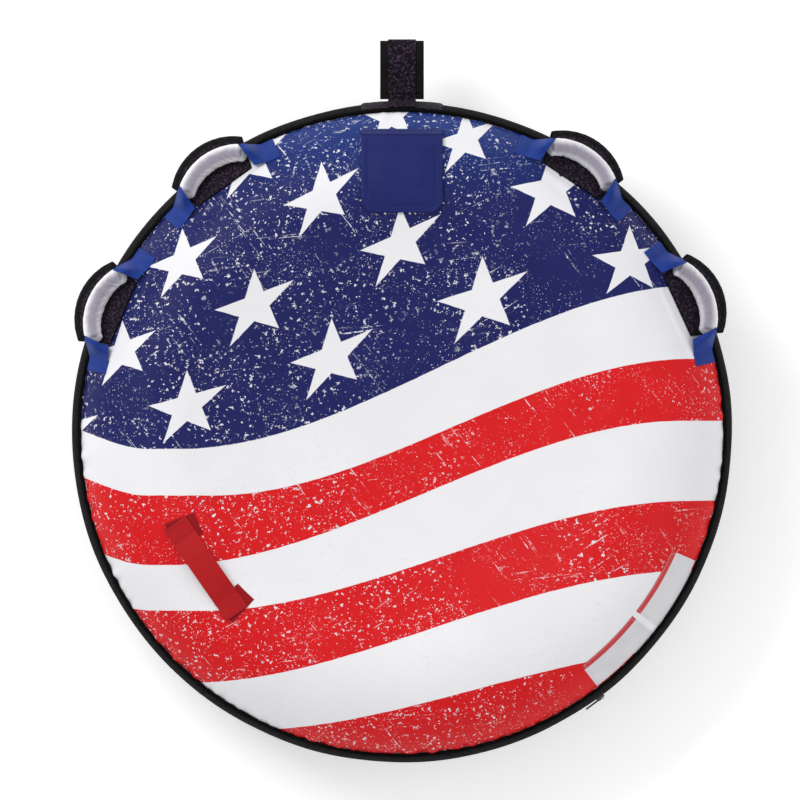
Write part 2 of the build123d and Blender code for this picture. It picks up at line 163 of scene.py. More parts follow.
def made(name, points, faces, material, uv=None, sharp=None):
    """A shaded mesh object."""
    mesh = bpy.data.meshes.new(name)
    corners = [tuple(int(i) for i in f) for f in faces]
    mesh.from_pydata([tuple(p) for p in np.asarray(points, float)], [], corners)
    if uv is not None:
        layer = mesh.uv_layers.new(name="cloth")
        loops = np.zeros(len(mesh.loops), np.int32)
        mesh.loops.foreach_get("vertex_index", loops)
        layer.data.foreach_set("uv", np.asarray(uv, np.float32)[loops].ravel())
    mesh.polygons.foreach_set("use_smooth", [True] * len(mesh.polygons))
    mesh.update()
    mesh.validate()
    if sharp:
        mesh.set_sharp_from_angle(angle=math.radians(sharp))
    obj = bpy.data.objects.new(name, mesh)
    bpy.context.scene.collection.objects.link(obj)
    obj.data.materials.append(material)
    return obj


def grid_faces(rows, columns, wrap_rows=False, wrap_columns=False, first=0, flip=False):
    """Quads of a grid whose vertices are counted row by row."""
    i = np.arange(rows if wrap_rows else rows - 1)
    j = np.arange(columns if wrap_columns else columns - 1)
    i, j = (m.ravel() for m in np.meshgrid(i, j, indexing="ij"))
    i2, j2 = (i + 1) % rows, (j + 1) % columns
    quads = np.stack([i * columns + j, i2 * columns + j, i2 * columns + j2, i * columns + j2], 1) + first
    return quads[:, ::-1] if flip else quads


def tube_grid(name, loops, material, uv=None, caps=True, closed=False, flip=False):
    """A skin through closed loops of points, [loops, points, 3], with its ends filled."""
    loops = np.asarray(loops, float)
    rows, columns = loops.shape[:2]
    faces = [list(f) for f in grid_faces(rows, columns, wrap_rows=closed, wrap_columns=True, flip=flip)]
    points = loops.reshape(-1, 3)
    if caps and not closed:
        points = np.vstack([points, loops[0].mean(0), loops[-1].mean(0)])
        start, end = len(points) - 2, len(points) - 1
        for j in range(columns):
            k = (j + 1) % columns
            near, far = [start, j, k], [end, (rows - 1) * columns + k, (rows - 1) * columns + j]
            faces += [near[::-1], far[::-1]] if flip else [near, far]
        if uv is not None:
            uv = np.vstack([uv, uv[0], uv[-1]])
    return made(name, points, faces, material, uv)


def band_section(width, thick, steps=9):
    """A webbing's cross-section (across, up), round at both edges, as a closed loop."""
    half, r = width / 2, thick / 2
    flat = np.linspace(-half + r, half - r, steps)
    turn = np.linspace(-math.pi / 2, math.pi / 2, 7)[1:-1]
    top = np.stack([flat, np.full(steps, r)], 1)
    right = np.stack([half - r + r * np.cos(turn), -r * np.sin(turn)], 1)
    under = np.stack([flat[::-1], np.full(steps, -r)], 1)
    left = np.stack([-half + r - r * np.cos(turn), r * np.sin(turn)], 1)
    return np.vstack([top, right, under, left])


def circle(count):
    """Angles evenly round a circle."""
    return np.arange(count) * 2 * math.pi / count


def length_along(path):
    """The distance run at each point of a path."""
    return np.concatenate([[0], np.cumsum(np.linalg.norm(np.diff(path, axis=0), axis=1))])


def band_map(section, along):
    """A cloth map in metres for a band: across its section and along its length."""
    return np.stack(np.broadcast_arrays(section[None, :, 0], along[:, None]), -1).reshape(-1, 2)


def centre_fan(columns):
    """Triangles from vertex 0 to the second row of a grid whose first row is one place."""
    return [[0, columns + j, columns + (j + 1) % columns] for j in range(columns)]


def only_used(points, faces):
    """The points that the faces use, the faces counted anew, and the old numbers of those points."""
    used = sorted({i for f in faces for i in f})
    number = {old: new for new, old in enumerate(used)}
    return points[used], [[number[i] for i in f] for f in faces], used


def webbing(name, path, across, up, width, thick, material):
    """A woven band that follows a path, given the directions across and up at each of its points."""
    path, across, up = (np.asarray(a, float) for a in (path, across, up))
    section = band_section(width, thick, 13)
    loops = path[:, None] + across[:, None] * section[None, :, 0:1] + up[:, None] * section[None, :, 1:2]
    return tube_grid(name, loops, material, band_map(section, length_along(path)), flip=True)


def unit(v):
    """Vectors of length 1."""
    v = np.asarray(v, float)
    return v / np.maximum(np.linalg.norm(v, axis=-1, keepdims=True), 1e-12)


def shell(name, top, under, material):
    """A closed slab between two grids of points, joined round the edge."""
    rows, columns = top.shape[:2]
    count = rows * columns
    faces = [list(f) for f in grid_faces(rows, columns)]
    faces += [list(f) for f in grid_faces(rows, columns, first=count, flip=True)]
    rim = list(range(columns)) + [i * columns + columns - 1 for i in range(1, rows)]
    rim += [(rows - 1) * columns + j for j in range(columns - 2, -1, -1)]
    rim += [i * columns for i in range(rows - 2, 0, -1)]
    for a, b in zip(rim, rim[1:] + rim[:1]):
        faces.append([b, a, a + count, b + count])
    wide = np.linalg.norm(top[0, -1] - top[0, 0])
    tall = np.linalg.norm(top[-1, 0] - top[0, 0])
    v, u = np.meshgrid(np.linspace(0, tall, rows), np.linspace(0, wide, columns), indexing="ij")
    uv = np.stack([u, v], -1).reshape(-1, 2)
    points = np.vstack([top.reshape(-1, 3), under.reshape(-1, 3)])
    return made(name, points, faces, material, np.vstack([uv, uv]), sharp=50)


def patch_shell(name, low, high, el, az, material, steps, edge, wander=0.0, seed=3):
    """A slab that follows the ring between two distances (mm), thin at its sewn edge."""
    v, u = np.meshgrid(np.linspace(-1, 1, steps[0]), np.linspace(-1, 1, steps[1]), indexing="ij")
    e = (el[0] + el[1]) / 2 + v * (el[1] - el[0]) / 2
    a = (az[0] + az[1]) / 2 + u * (az[1] - az[0]) / 2
    half_v = math.radians(el[1] - el[0]) / 2 * TUBE / MM
    half_u = math.radians(az[1] - az[0]) / 2 * 0.55 / MM
    inside = np.minimum((1 - np.abs(v)) * half_v, (1 - np.abs(u)) * half_u)
    lift = (high - low) * (0.45 + 0.55 * smooth(inside, 0, edge * 2))
    lift = lift + wander * ripple(u * 5 + v * 3, seed, low=1, high=6) * smooth(inside, 0, 6)
    top = ring_point((low + lift) * MM, e, a)
    under = ring_point(np.full_like(e, low * MM), e, a)
    return shell(name, top, under, material)


def settle(piece, body, node=None):
    """The body that carries a piece, and the CAD node that it stands for."""
    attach(piece, body)
    if node:
        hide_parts(node)


def stitched_box(x0, x1, y0, y1):
    """Points along a sewn box with its two diagonals."""
    corners = [(x0, y0), (x1, y0), (x1, y1), (x0, y1), (x0, y0), (x1, y1), (x1, y0), (x0, y1)]
    return np.vstack([np.linspace(a, b, 14)[:-1] for a, b in zip(corners, corners[1:])] + [[corners[-1]]])


def bar_faces(first, spans, sides):
    """The faces of a closed bar whose rings of points follow each other from that vertex on."""
    ring_a, ring_b = list(range(sides)), [(j + 1) % sides for j in range(sides)]
    starts = [first + k * sides for k in range(spans)]
    faces = [[k + j, k + j2, k + sides + j2, k + sides + j] for k in starts for j, j2 in zip(ring_a, ring_b)]
    faces.append([first + j for j in reversed(ring_a)])
    faces.append([first + spans * sides + j for j in ring_a])
    return faces


def stitches(name, path, up, body, material, pitch=4.2, length=2.9, thick=0.55):
    """Thread along a path (metres): each stitch a small rounded bar on the cloth."""
    path, up = np.asarray(path, float), unit(up)
    along = length_along(path)
    count = int(along[-1] / (pitch * MM))
    points, faces = [], []
    ring = np.array([(math.cos(t), math.sin(t)) for t in np.arange(6) * math.pi / 3])
    for i in range(count):
        s = (i + 0.5) * pitch * MM + np.array([-1.0, -0.72, 0.0, 0.72, 1.0]) * length * MM / 2
        c = np.stack([np.interp(s, along, path[:, k]) for k in range(3)], 1)
        n = unit(np.array([np.interp(s[2], along, up[:, k]) for k in range(3)]))
        b = np.cross(n, unit(c[-1] - c[0]))
        first = len(points)
        for place, grow in zip(c, (0.25, 0.8, 1.0, 0.8, 0.25)):
            middle = place + n * thick * MM * (0.25 * grow)
            points += [middle + (b * x + n * y * 0.8) * thick * MM * grow for x, y in ring]
        faces += bar_faces(first, 4, 6)
    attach(made(name, points, faces, material), body)


def sewn(name, dist, el, az, thread, *sizes):
    """Stitches on the tube through those distances, elevations and azimuths."""
    stitches(name, ring_point(dist, el, az), ring_normal(el, az), "tube", thread, *sizes)


# ---- materials


WAVE_BANDS = 3.2  # how many bands a wave texture draws in one unit at scale 1


class Graph:
    """Short calls for building one material's nodes. A value may be a number, a colour or a socket."""

    def __init__(self, tree):
        self.tree = tree

    def add(self, kind, **settings):
        node = self.tree.nodes.new(kind)
        for key, value in settings.items():
            setattr(node, key, value)
        return node

    def put(self, node, name, value):
        socket = node.inputs[name]
        if isinstance(value, bpy.types.NodeSocket):
            self.tree.links.new(value, socket)
        elif value is not None:
            socket.default_value = value

    def fill(self, node, values):
        for name, value in values.items():
            self.put(node, name, value)

    def math(self, operation, a, b=None, clamp=False):
        node = self.add("ShaderNodeMath", operation=operation, use_clamp=clamp)
        self.put(node, 0, a)
        self.put(node, 1, b)
        return node.outputs[0]

    def plus(self, a, b, clamp=False):
        return self.math("ADD", a, b, clamp)

    def minus(self, a, b):
        return self.math("SUBTRACT", a, b)

    def times(self, a, b):
        return self.math("MULTIPLY", a, b)

    def split(self, vector):
        node = self.add("ShaderNodeSeparateXYZ")
        self.tree.links.new(vector, node.inputs[0])
        return node.outputs

    def step(self, value, low, high, to_low=0.0, to_high=1.0):
        node = self.add("ShaderNodeMapRange", interpolation_type="SMOOTHSTEP")
        self.fill(node, {"Value": value, "From Min": low, "From Max": high})
        self.fill(node, {"To Min": to_low, "To Max": to_high})
        return node.outputs[0]

    def mix(self, factor, a, b):
        node = self.add("ShaderNodeMix", data_type="RGBA")
        self.put(node, 0, factor)
        for index, value in ((6, a), (7, b)):
            self.put(node, index, value if isinstance(value, bpy.types.NodeSocket) else (*value, 1.0))
        return node.outputs[2]

    def noise(self, vector, scale, detail=2.0, rough=0.5, color=False):
        node = self.add("ShaderNodeTexNoise")
        self.fill(node, {"Vector": vector, "Scale": scale, "Detail": detail, "Roughness": rough})
        return node.outputs[1 if color else 0]

    def wave(self, vector, pitch, direction, distortion=0.0):
        """Bands that far apart in mm."""
        node = self.add("ShaderNodeTexWave", bands_direction=direction)
        scale = 1 / (pitch * MM) / WAVE_BANDS
        self.fill(node, {"Vector": vector, "Scale": scale, "Distortion": distortion})
        return node.outputs[1]

    def scaled(self, vector, x, y, z):
        node = self.add("ShaderNodeMapping")
        self.fill(node, {"Vector": vector, "Scale": (x, y, z)})
        return node.outputs[0]

    def place(self, output="Object"):
        return self.add("ShaderNodeTexCoord").outputs[output]

    def bump(self, height, distance, strength=1.0, under=None):
        node = self.add("ShaderNodeBump")
        self.fill(node, {"Height": height, "Distance": distance, "Strength": strength, "Normal": under})
        return node.outputs[0]


def new_material(name):
    """A material, its node calls and its shader."""
    m = bpy.data.materials.new(name)
    m.use_nodes = True
    g = Graph(m.node_tree)
    return m, g, m.node_tree.nodes["Principled BSDF"]


def shade(value):
    """An sRGB colour, 0 to 255, as linear light."""
    c = np.array(value, float) / 255
    return tuple(float(x) for x in np.where(c <= 0.04045, c / 12.92, ((c + 0.055) / 1.055) ** 2.4))


def around(base, vary, lift=0.0):
    """A darker and a lighter shade than that colour."""
    return tuple(x * (1 - vary) for x in base), tuple(min(1.0, x * (1 + vary) + lift) for x in base)


def finish(g, shader, colour, fine, rough, normal, specular=None, sheen=None, metal=None,
           spread=(0.25, 0.75)):
    """Joins a material's last nodes; its roughness lies between those two values."""
    g.fill(shader, {
        "Base Color": colour, "Roughness": g.step(fine, *spread, *rough), "Normal": normal,
        "Specular IOR Level": specular, "Sheen Weight": sheen, "Metallic": metal,
    })


def cloth(name, colour, pitch=1.1, depth=0.12, vary=0.16, rough=0.62, sheen=0.03, dirt=None, scale=9.0,
          inner=None, edge=None, specular=0.12, dirt_scale=35.0, dirt_from=0.58, dirt_much=0.5):
    """Plain woven cloth: crossed threads, slow changes of colour and small worn flecks, and, when inner is
    given, painted shade on the side of the piece that turns inwards.
    """
    m, g, shader = new_material(name)
    at = g.place()
    warp = g.wave(at, pitch, "DIAGONAL", 0.6)
    weft = g.wave(g.scaled(at, -1, 1, 1), pitch, "DIAGONAL", 0.6)
    weave = g.times(warp, weft)
    slow = g.noise(at, scale, 4.0, 0.6)
    fine = g.noise(at, 260.0, 3.0, 0.6)
    dark, light = around(shade(colour), vary, 0.004)
    tint = g.mix(slow, dark, light)
    tint = g.mix(g.times(weave, 0.35), tint, light)
    if dirt:
        soiled = g.step(g.noise(at, dirt_scale, 5.0, 0.7), dirt_from, dirt_from + 0.12, 0, dirt_much)
        tint = g.mix(soiled, tint, shade(dirt))
    # Painted shade: the inner colour is laid over the side whose cloth map u is low (a grip's side towards
    # the tube's middle), mottled by noise and weaker on the side that faces the cover.
    if inner:
        across = g.split(g.place("UV"))
        blotch = g.times(g.minus(g.noise(at, 70.0, 4.0, 0.6), 0.5), 0.5)
        shaded = g.step(g.plus(across[0], blotch), 0.46, -0.55, 0.0, 0.95)
        shaded = g.times(shaded, g.step(across[1], -0.15, 0.60, 0.30, 1.0))
        tint = g.mix(shaded, tint, shade(inner))
    if edge:
        bound = g.split(g.place("UV"))[0]
        tint = g.mix(bound, tint, g.mix(slow, shade(edge), tuple(x * 1.8 for x in shade(edge))))
    normal = g.bump(weave, depth * MM, 0.8, g.bump(fine, 0.25 * MM, 0.5))
    finish(g, shader, tint, fine, (rough - 0.08, rough + 0.1), normal, specular, sheen)
    return m


def band_cloth(name, colour, vary=0.14, rough=0.6, rib=2.0):
    """Webbing: ribs along it and a herringbone across, from the piece's own cloth map."""
    m, g, shader = new_material(name)
    at = g.place("UV")
    ribs, picks = g.wave(at, rib, "X"), g.wave(at, 1.3, "Y")
    twill = g.wave(at, 1.9, "DIAGONAL", 0.3)
    weave = g.times(g.plus(ribs, g.times(picks, twill)), 0.5)
    slow = g.noise(g.place(), 14.0, 4.0, 0.6)
    fuzz = g.noise(g.place(), 420.0, 2.0, 0.6)
    base = shade(colour)
    tint = g.mix(slow, *around(base, vary, 0.003))
    tint = g.mix(g.times(weave, 0.45), tint, tuple(min(1.0, x * 1.5 + 0.01) for x in base))
    normal = g.bump(weave, 0.35 * MM, 0.9, g.bump(fuzz, 0.15 * MM, 0.4))
    finish(g, shader, tint, fuzz, (rough - 0.08, rough + 0.1), normal, 0.12, 0.05, spread=(0.3, 0.7))
    return m


def moulded(name, colour, rough=0.42, metal=0.0, grain=900.0, vary=0.08, scratch=0.25):
    """Moulded plastic, rubber or metal: a fine grain, faint mottling and light scratches."""
    m, g, shader = new_material(name)
    at = g.place()
    slow, fine = g.noise(at, 40.0, 3.0), g.noise(at, grain, 2.0)
    lines = g.step(g.noise(g.scaled(at, 1, 9, 3), 130.0, 3.0, 0.7), 0.60, 0.72, 0, scratch)
    base = shade(colour)
    tint = g.mix(slow, *around(base, vary))
    tint = g.mix(lines, tint, tuple(min(1.0, x * 1.6 + 0.02) for x in base))
    finish(g, shader, tint, fine, (rough - 0.07, rough + 0.1), g.bump(fine, 0.06 * MM, 0.6), metal=metal,
           spread=(0.3, 0.7))
    return m


# ---- the printed deck

# Each boundary between two bands of the print: (left x, right x, left y, right y) of its long S, in metres.
WAVES = (
    (-0.400, 0.540, -0.0282, 0.2695),
    (-0.340, 0.524, -0.1127, 0.1352),
    (-0.424, 0.512, -0.2390, 0.0227),
    (-0.362, 0.520, -0.3220, -0.1227),
    (-0.400, 0.520, -0.4550, -0.2500),
    (-0.300, 0.550, -0.5420, -0.3920),
)
# Stars: centre, size and slant.
STARS = (
    (-0.145, 0.428, 0.068, 0.50), (-0.398, 0.312, 0.063, 0.44), (-0.267, 0.230, 0.072, 0.38),
    (-0.127, 0.137, 0.075, 0.41), (-0.002, 0.343, 0.073, 0.45), (0.147, 0.243, 0.082, 0.33),
    (0.116, 0.532, 0.060, 0.35), (0.271, 0.441, 0.073, 0.20), (0.415, 0.312, 0.069, 0.13),
    (-0.507, 0.147, 0.061, 0.36), (-0.389, 0.048, 0.070, 0.27), (-0.612, -0.002, 0.060, 0.30),
    (-0.018, 0.578, 0.055, 0.20), (-0.276, 0.496, 0.067, 0.45),
)


def star_group():
    """A node group: 1 inside a slanted five-pointed star, 0 outside it."""
    tree = bpy.data.node_groups.new("star_mask", "ShaderNodeTree")
    for name in ("X", "Y", "CX", "CY", "Size", "Slant"):
        tree.interface.new_socket(name, in_out="INPUT", socket_type="NodeSocketFloat")
    tree.interface.new_socket("Mask", in_out="OUTPUT", socket_type="NodeSocketFloat")
    g = Graph(tree)
    given = g.add("NodeGroupInput").outputs
    x = g.minus(given["X"], given["CX"])
    y = g.minus(given["Y"], given["CY"])
    y = g.minus(y, g.times(x, given["Slant"]))
    x, y = g.math("DIVIDE", x, 1.05), g.math("DIVIDE", y, 0.955)
    fifth = 2 * math.pi / 5
    turn = g.plus(g.math("ARCTAN2", x, y), 10 * fifth + fifth / 2)
    folded = g.math("ABSOLUTE", g.minus(g.math("MODULO", turn, fifth), fifth / 2))
    far = g.math("DIVIDE", g.math("SQRT", g.plus(g.times(x, x), g.times(y, y))),
                 given["Size"])
    px = g.times(far, g.math("COSINE", folded))
    py = g.times(far, g.math("SINE", folded))
    inner = 0.382
    rise, run = inner * math.sin(fifth / 2), 1 - inner * math.cos(fifth / 2)
    off = g.plus(g.times(g.minus(px, 1.0), rise), g.times(py, run))
    mask = g.step(off, -0.006, 0.006, 1.0, 0.0)
    end = g.add("NodeGroupOutput")
    tree.links.new(mask, end.inputs[0])
    return tree


def print_material():
    """The deck's print: a waving flag of stripes and stars, with a worn, flecked finish, on woven nylon."""
    m, g, shader = new_material("deck_print")
    at = g.place()
    wobble = g.add("ShaderNodeVectorMath", operation="MULTIPLY_ADD")
    g.tree.links.new(g.noise(at, 45.0, 3.0, 0.6, color=True), wobble.inputs[0])
    wobble.inputs[1].default_value = (0.0022,) * 3
    scaled = g.scaled(at, PRINT_SCALE, PRINT_SCALE, 1.0)
    g.tree.links.new(scaled, wobble.inputs[2])
    x, y, _ = g.split(wobble.outputs[0])

    blue = g.mix(g.noise(at, 7.0, 4.0, 0.6), shade((22, 24, 82)), shade((31, 38, 100)))
    blue = g.mix(g.step(y, 0.40, 0.60, 0, 0.75), blue, shade((30, 60, 132)))
    red = g.mix(g.noise(at, 8.0, 4.0, 0.6), shade((203, 17, 25)), shade((220, 28, 31)))
    white = g.mix(g.noise(at, 5.0, 3.0, 0.6), shade((227, 226, 231)), shade((240, 240, 242)))

    curl = g.times(g.step(x, -0.46, -0.66), 0.050)
    levels = []
    for x0, x1, y0, y1 in WAVES:
        line = g.plus(g.step(x, x0, x1, y0, y1), curl)
        off = g.minus(y, line)
        levels.append(g.step(off, -0.0007, 0.0007))
    b1, b2, b3, b4, b5, b6 = levels
    red_mask = g.times(g.minus(1.0, b2), b3)
    red_mask = g.plus(red_mask, g.times(g.minus(1.0, b4), b5))
    red_mask = g.plus(red_mask, g.minus(1.0, b6), clamp=True)

    group = star_group()
    stars = None
    for cx, cy, size, slant in STARS:
        node = g.add("ShaderNodeGroup", node_tree=group)
        g.fill(node, {"X": x, "Y": y, "CX": cx, "CY": cy, "Size": size, "Slant": slant})
        stars = node.outputs[0] if stars is None else g.math("MAXIMUM", stars, node.outputs[0])
    blue_mask = g.times(b1, g.minus(1.0, stars))

    clusters = g.noise(at, 5.5, 3.0, 0.6)
    clusters = g.plus(clusters, g.step(x, 0.30, -0.55, 0.0, 0.07))
    clusters = g.plus(clusters, g.step(y, 0.40, 0.58, 0.0, 0.05))
    flecks = g.step(g.noise(at, 125.0, 2.5, 0.7), 0.615, 0.640)
    flecks = g.times(flecks, g.step(clusters, 0.40, 0.56))
    grains = g.step(g.noise(at, 290.0, 2.0, 0.6), 0.655, 0.690)
    grains = g.times(grains, g.step(g.noise(at, 13.0, 3.0, 0.6), 0.44, 0.58))
    chips = g.step(g.noise(at, 48.0, 5.0, 0.75), 0.665, 0.685)
    chips = g.times(chips, g.step(clusters, 0.46, 0.58))
    worn = g.math("MAXIMUM", g.math("MAXIMUM", flecks, grains), chips)
    scratch_sets = ((0.55, 0.16, 0.0062, 5.0), (0.12, 0.20, 0.0056, 6.5), (-0.9, 0.13, 0.0058, 7.5))
    for turn, long, fine_scale, gate in scratch_sets:
        turned = g.add("ShaderNodeMapping", vector_type="TEXTURE")
        g.put(turned, "Vector", at)
        turned.inputs["Rotation"].default_value = (0, 0, turn)
        turned.inputs["Scale"].default_value = (long, fine_scale, long)
        scratch = g.step(g.noise(turned.outputs[0], 1.0, 3.0, 0.7), 0.650, 0.672)
        broken = g.step(g.noise(at, 190.0, 2.0, 0.6), 0.40, 0.50)
        scratch = g.times(g.times(scratch, broken),
                         g.step(g.noise(at, gate, 2.0), 0.52, 0.60))
        worn = g.math("MAXIMUM", worn, scratch)

    colour = g.mix(red_mask, white, red)
    colour = g.mix(blue_mask, colour, blue)
    colour = g.mix(g.times(worn, 0.93), colour, shade((228, 228, 234)))

    weave = g.times(g.wave(at, 1.15, "X", 0.5), g.wave(at, 1.15, "Y", 0.5))
    fine = g.noise(at, 300.0, 3.0, 0.6)
    soft = g.noise(at, 26.0, 4.0, 0.55)
    colour = g.mix(g.times(weave, 0.06), colour, shade((20, 20, 30)))
    normal = g.bump(weave, 0.10 * MM, 0.7, g.bump(soft, 1.2 * MM, 0.35, g.bump(fine, 0.2 * MM, 0.4)))
    finish(g, shader, colour, fine, (0.40, 0.56), normal, 0.14, 0.0)
    return m


# ---- cover


def section_line(leaves, steps, side):
    """A cover panel's line from the axis to its seam: radius, height, outward (r, z), distance along it."""
    turn = math.radians(leaves)
    apex = MID_Z + side * RING / -math.cos(turn) * math.sin(turn)
    span = RING / -math.cos(turn) - TUBE
    length_flat = span * (turn - math.pi / 2)
    length_ring = TUBE * (turn - math.radians(SEAM_EL))
    s = np.linspace(0, length_flat + length_ring, steps)
    a = np.clip(s, 0, length_flat) / span
    el = turn - np.clip(s - length_flat, 0, None) / TUBE
    flat = s <= length_flat
    r = np.where(flat, span * np.sin(a), RING + TUBE * np.cos(el))
    z = np.where(flat, apex - side * span * np.cos(a), MID_Z + side * TUBE * np.sin(el))
    nr = np.where(flat, -np.sin(a), np.cos(el))
    nz = np.where(flat, side * np.cos(a), side * np.sin(el))
    return r, z, nr, nz, s, s[-1]


def folds_at(r, az):
    """Height in mm of the soft folds that the handles, tow point and flap pull in the deck."""
    total = np.zeros_like(r)
    x, y = r * cos_deg(az), r * sin_deg(az)
    for a in np.radians(list(HANDLES.values())):
        out = x * math.cos(a) + y * math.sin(a)
        side = x * math.sin(a) - y * math.cos(a)
        along = smooth(0.135 - np.abs(side), 0, 0.05)
        total += 1.5 * bell(out - 0.534 - 0.05 * side**2 * 10, 0.0055) * along
        total -= 0.9 * bell(out - 0.523, 0.009) * along
        for hand in (-1, 1):
            reach = side - hand * (0.105 + 0.25 * (0.56 - out))
            total += 0.9 * bell(reach, 0.007) * smooth(out, 0.46, 0.54) * smooth(0.60 - out, 0, 0.03)
    return total


def sewn_over(x, y):
    """1 where a label, patch, anchor or the flap is sewn to the deck, falling to 0 round it."""
    r, az = np.hypot(x, y), np.degrees(np.arctan2(y, x))
    flat = smooth(np.abs(az + 38), 18, 15.2) * smooth(r, 0.516, 0.526)
    under_flap = smooth(np.abs(x), 0.090, 0.077) * smooth(y, 0.375, 0.395) * smooth(y, 0.560, 0.550)
    flat = np.maximum(flat, under_flap)
    for middle in HANDLES.values():
        turn = np.abs((az - middle + 180) % 360 - 180)
        flat = np.maximum(flat, smooth(turn, 14.5, 12.8) * smooth(r, 0.541, 0.546))
    side, out = in_strap_frame(x, y)
    return np.maximum(flat, smooth(np.abs(side), 0.125, 0.108) * smooth(np.abs(out), 0.040, 0.031))


def in_strap_frame(x, y):
    """Distances along and across the boarding strap from its middle."""
    a = math.radians(BOARD_AZ)
    return x * math.sin(a) - y * math.cos(a), x * math.cos(a) + y * math.sin(a) - RING


def cover_panel(name, leaves, side, material, rows, columns, seed, holes=()):
    """The cover's deck (side 1) or floor (side -1), puckered at its seam, with round holes."""
    r, z, nr, nz, s, whole = section_line(leaves, rows, side)
    r[0] = 0.0
    az = np.degrees(circle(columns))
    S, A = np.meshgrid(s, az, indexing="ij")
    R, Z, NR, NZ = (np.repeat(v[:, None], columns, 1) for v in (r, z, nr, nz))
    from_seam = whole - S
    pucker = ring_ripple(A, seed, 70, 190, 14) * bell(from_seam - 0.004, 0.020)
    pucker += 0.6 * ring_ripple(A, seed + 1, 30, 80, 10) * bell(from_seam - 0.02, 0.045)
    lift = 1.1 * pucker - 0.9 * bell(from_seam, 0.004)
    x, y = R * cos_deg(A), R * sin_deg(A)
    wide = np.sin(7.1 * x + 2.3 * y + 0.4) * np.sin(5.2 * y - 3.7 * x + 1.1)
    wide += 0.6 * np.sin(15.0 * x - 8.0 * y + 2.0) * np.sin(11.0 * y + 6.0 * x)
    lift += 0.9 * wide * smooth(R, 0.02, 0.12)
    lift += 0.55 * ring_ripple(A, seed + 2, 10, 44, 12) * bell(R - 0.365, 0.035)
    if side > 0:
        lift += folds_at(R, A)
        lift += 0.8 * bell(R - 0.227, 0.012) - 0.5 * bell(R - 0.25, 0.02)
        lift *= 1 - 0.97 * sewn_over(x, y)
    lift = np.clip(lift, -1.2, 3.0)
    RR, ZZ = R + NR * lift * MM, Z + NZ * lift * MM
    if side < 0:
        ZZ = np.maximum(ZZ, 0.0004)
    points = np.stack([RR * cos_deg(A), RR * sin_deg(A), ZZ], -1)
    tuck = points[-1].copy()
    radial = np.stack([cos_deg(az), sin_deg(az), np.zeros(columns)], -1)
    tuck = tuck - radial * 0.003 - np.array([0, 0, side * 0.0015])
    points = np.concatenate([points, tuck[None]])
    flat = points.reshape(-1, 3)
    faces = grid_faces(rows + 1, columns, wrap_columns=True, flip=side < 0)
    faces = faces[faces.min(1) >= columns]
    fan = centre_fan(columns)
    if side < 0:
        fan = [f[::-1] for f in fan]
    for centre, radius in holes:
        middle = flat[faces].mean(1)
        faces = faces[np.linalg.norm(middle - centre, axis=1) > radius]
    faces = [list(f) for f in faces] + fan
    return made(name, *only_used(flat, faces)[:2], material)


def side_band(material):
    """The cover's band round the outside, between the two seams, slit for the zip."""
    rows, columns = 44, 900
    el = np.linspace(-SEAM_EL, SEAM_EL, rows)
    az = np.degrees(circle(columns))
    E, A = np.meshgrid(el, az, indexing="ij")
    from_seam = (SEAM_EL - np.abs(E)) * math.radians(1) * TUBE
    lift = ring_ripple(A, 31, 60, 180, 14) * bell(from_seam - 0.004, 0.016) * np.where(E > 0, 1.0, 0.9)
    lift += 0.7 * ring_ripple(A + 3 * np.sign(E), 33, 20, 70, 10) * bell(from_seam - 0.02, 0.03)
    lift += 0.5 * ring_ripple(A, 35, 6, 22, 8)
    lift -= 0.9 * bell(from_seam, 0.004)
    points = ring_point(TUBE + np.clip(lift, -1.1, 2.2) * MM * keep_flat(E, A), E, A)
    faces = grid_faces(rows, columns, wrap_columns=True, flip=True)
    middle_el, middle_az = E.ravel()[faces].mean(1), A.ravel()[faces]
    middle_az = np.where(np.ptp(middle_az, axis=1) > 180, 0.0, middle_az.mean(1))
    slit = (np.abs(middle_el - ZIP_EL) < 0.7) & (np.abs(middle_az - REAR) < ZIP_HALF_AZ - 1)
    return made("side_cover", points.reshape(-1, 3), faces[~slit], material)


def keep_flat(el, az):
    """How much the side band may wander: little under what is sewn to it."""
    nose = smooth(np.abs(az - NOSE), 7.5, 10.5)
    zipped = np.maximum(smooth(np.abs(az - REAR), 41.5, 44), smooth(np.abs(el - ZIP_EL), 6, 9))
    return 0.05 + 0.95 * nose * zipped


def piping(name, side, material, seed):
    """A sewn cord along the upper (side 1) or lower (side -1) seam."""
    columns, turns = 1200, 10
    az = np.degrees(circle(columns))
    wander = 0.35 * ring_ripple(az, seed, 60, 190, 12)
    swell = 1 + 0.05 * ring_ripple(az, seed + 5, 120, 300, 10)
    el = math.radians(side * SEAM_EL)
    r0, z0 = RING + (TUBE + PIPING_R) * math.cos(el), MID_Z + (TUBE + PIPING_R) * math.sin(el)
    t = circle(turns)
    r = r0 + wander[:, None] * MM * 0.5 + PIPING_R * swell[:, None] * np.cos(t)[None]
    z = z0 + wander[:, None] * MM + PIPING_R * swell[:, None] * np.sin(t)[None]
    a = np.radians(az)[:, None]
    return tube_grid(name, np.stack([r * np.cos(a), r * np.sin(a), z], -1), material, closed=True, flip=True)


# ---- handles

GRIP_BEND, GRIP_U, GRIP_N, GRIP_R = 81.0, 46.0, 26.0, 17.0
GRIP_TURN = math.asin(64.5 / GRIP_BEND)
# A strap's distance from the ring's centre circle where it lies on its anchor, and its thickness, in mm.
STRAP_DIST, STRAP_THICK = 172.4, 2.0


def grip_frame(angle):
    """The grip's centreline at angles from its middle, with its outward and along directions, in mm."""
    angle = np.asarray(angle, float)
    zero = np.zeros_like(angle)
    place = np.stack([GRIP_BEND * np.sin(angle), GRIP_U - GRIP_BEND * (1 - np.cos(angle)), GRIP_N + zero], -1)
    out = np.stack([np.sin(angle), np.cos(angle), zero], -1)
    along = np.stack([np.cos(angle), -np.sin(angle), zero], -1)
    return place, out, along


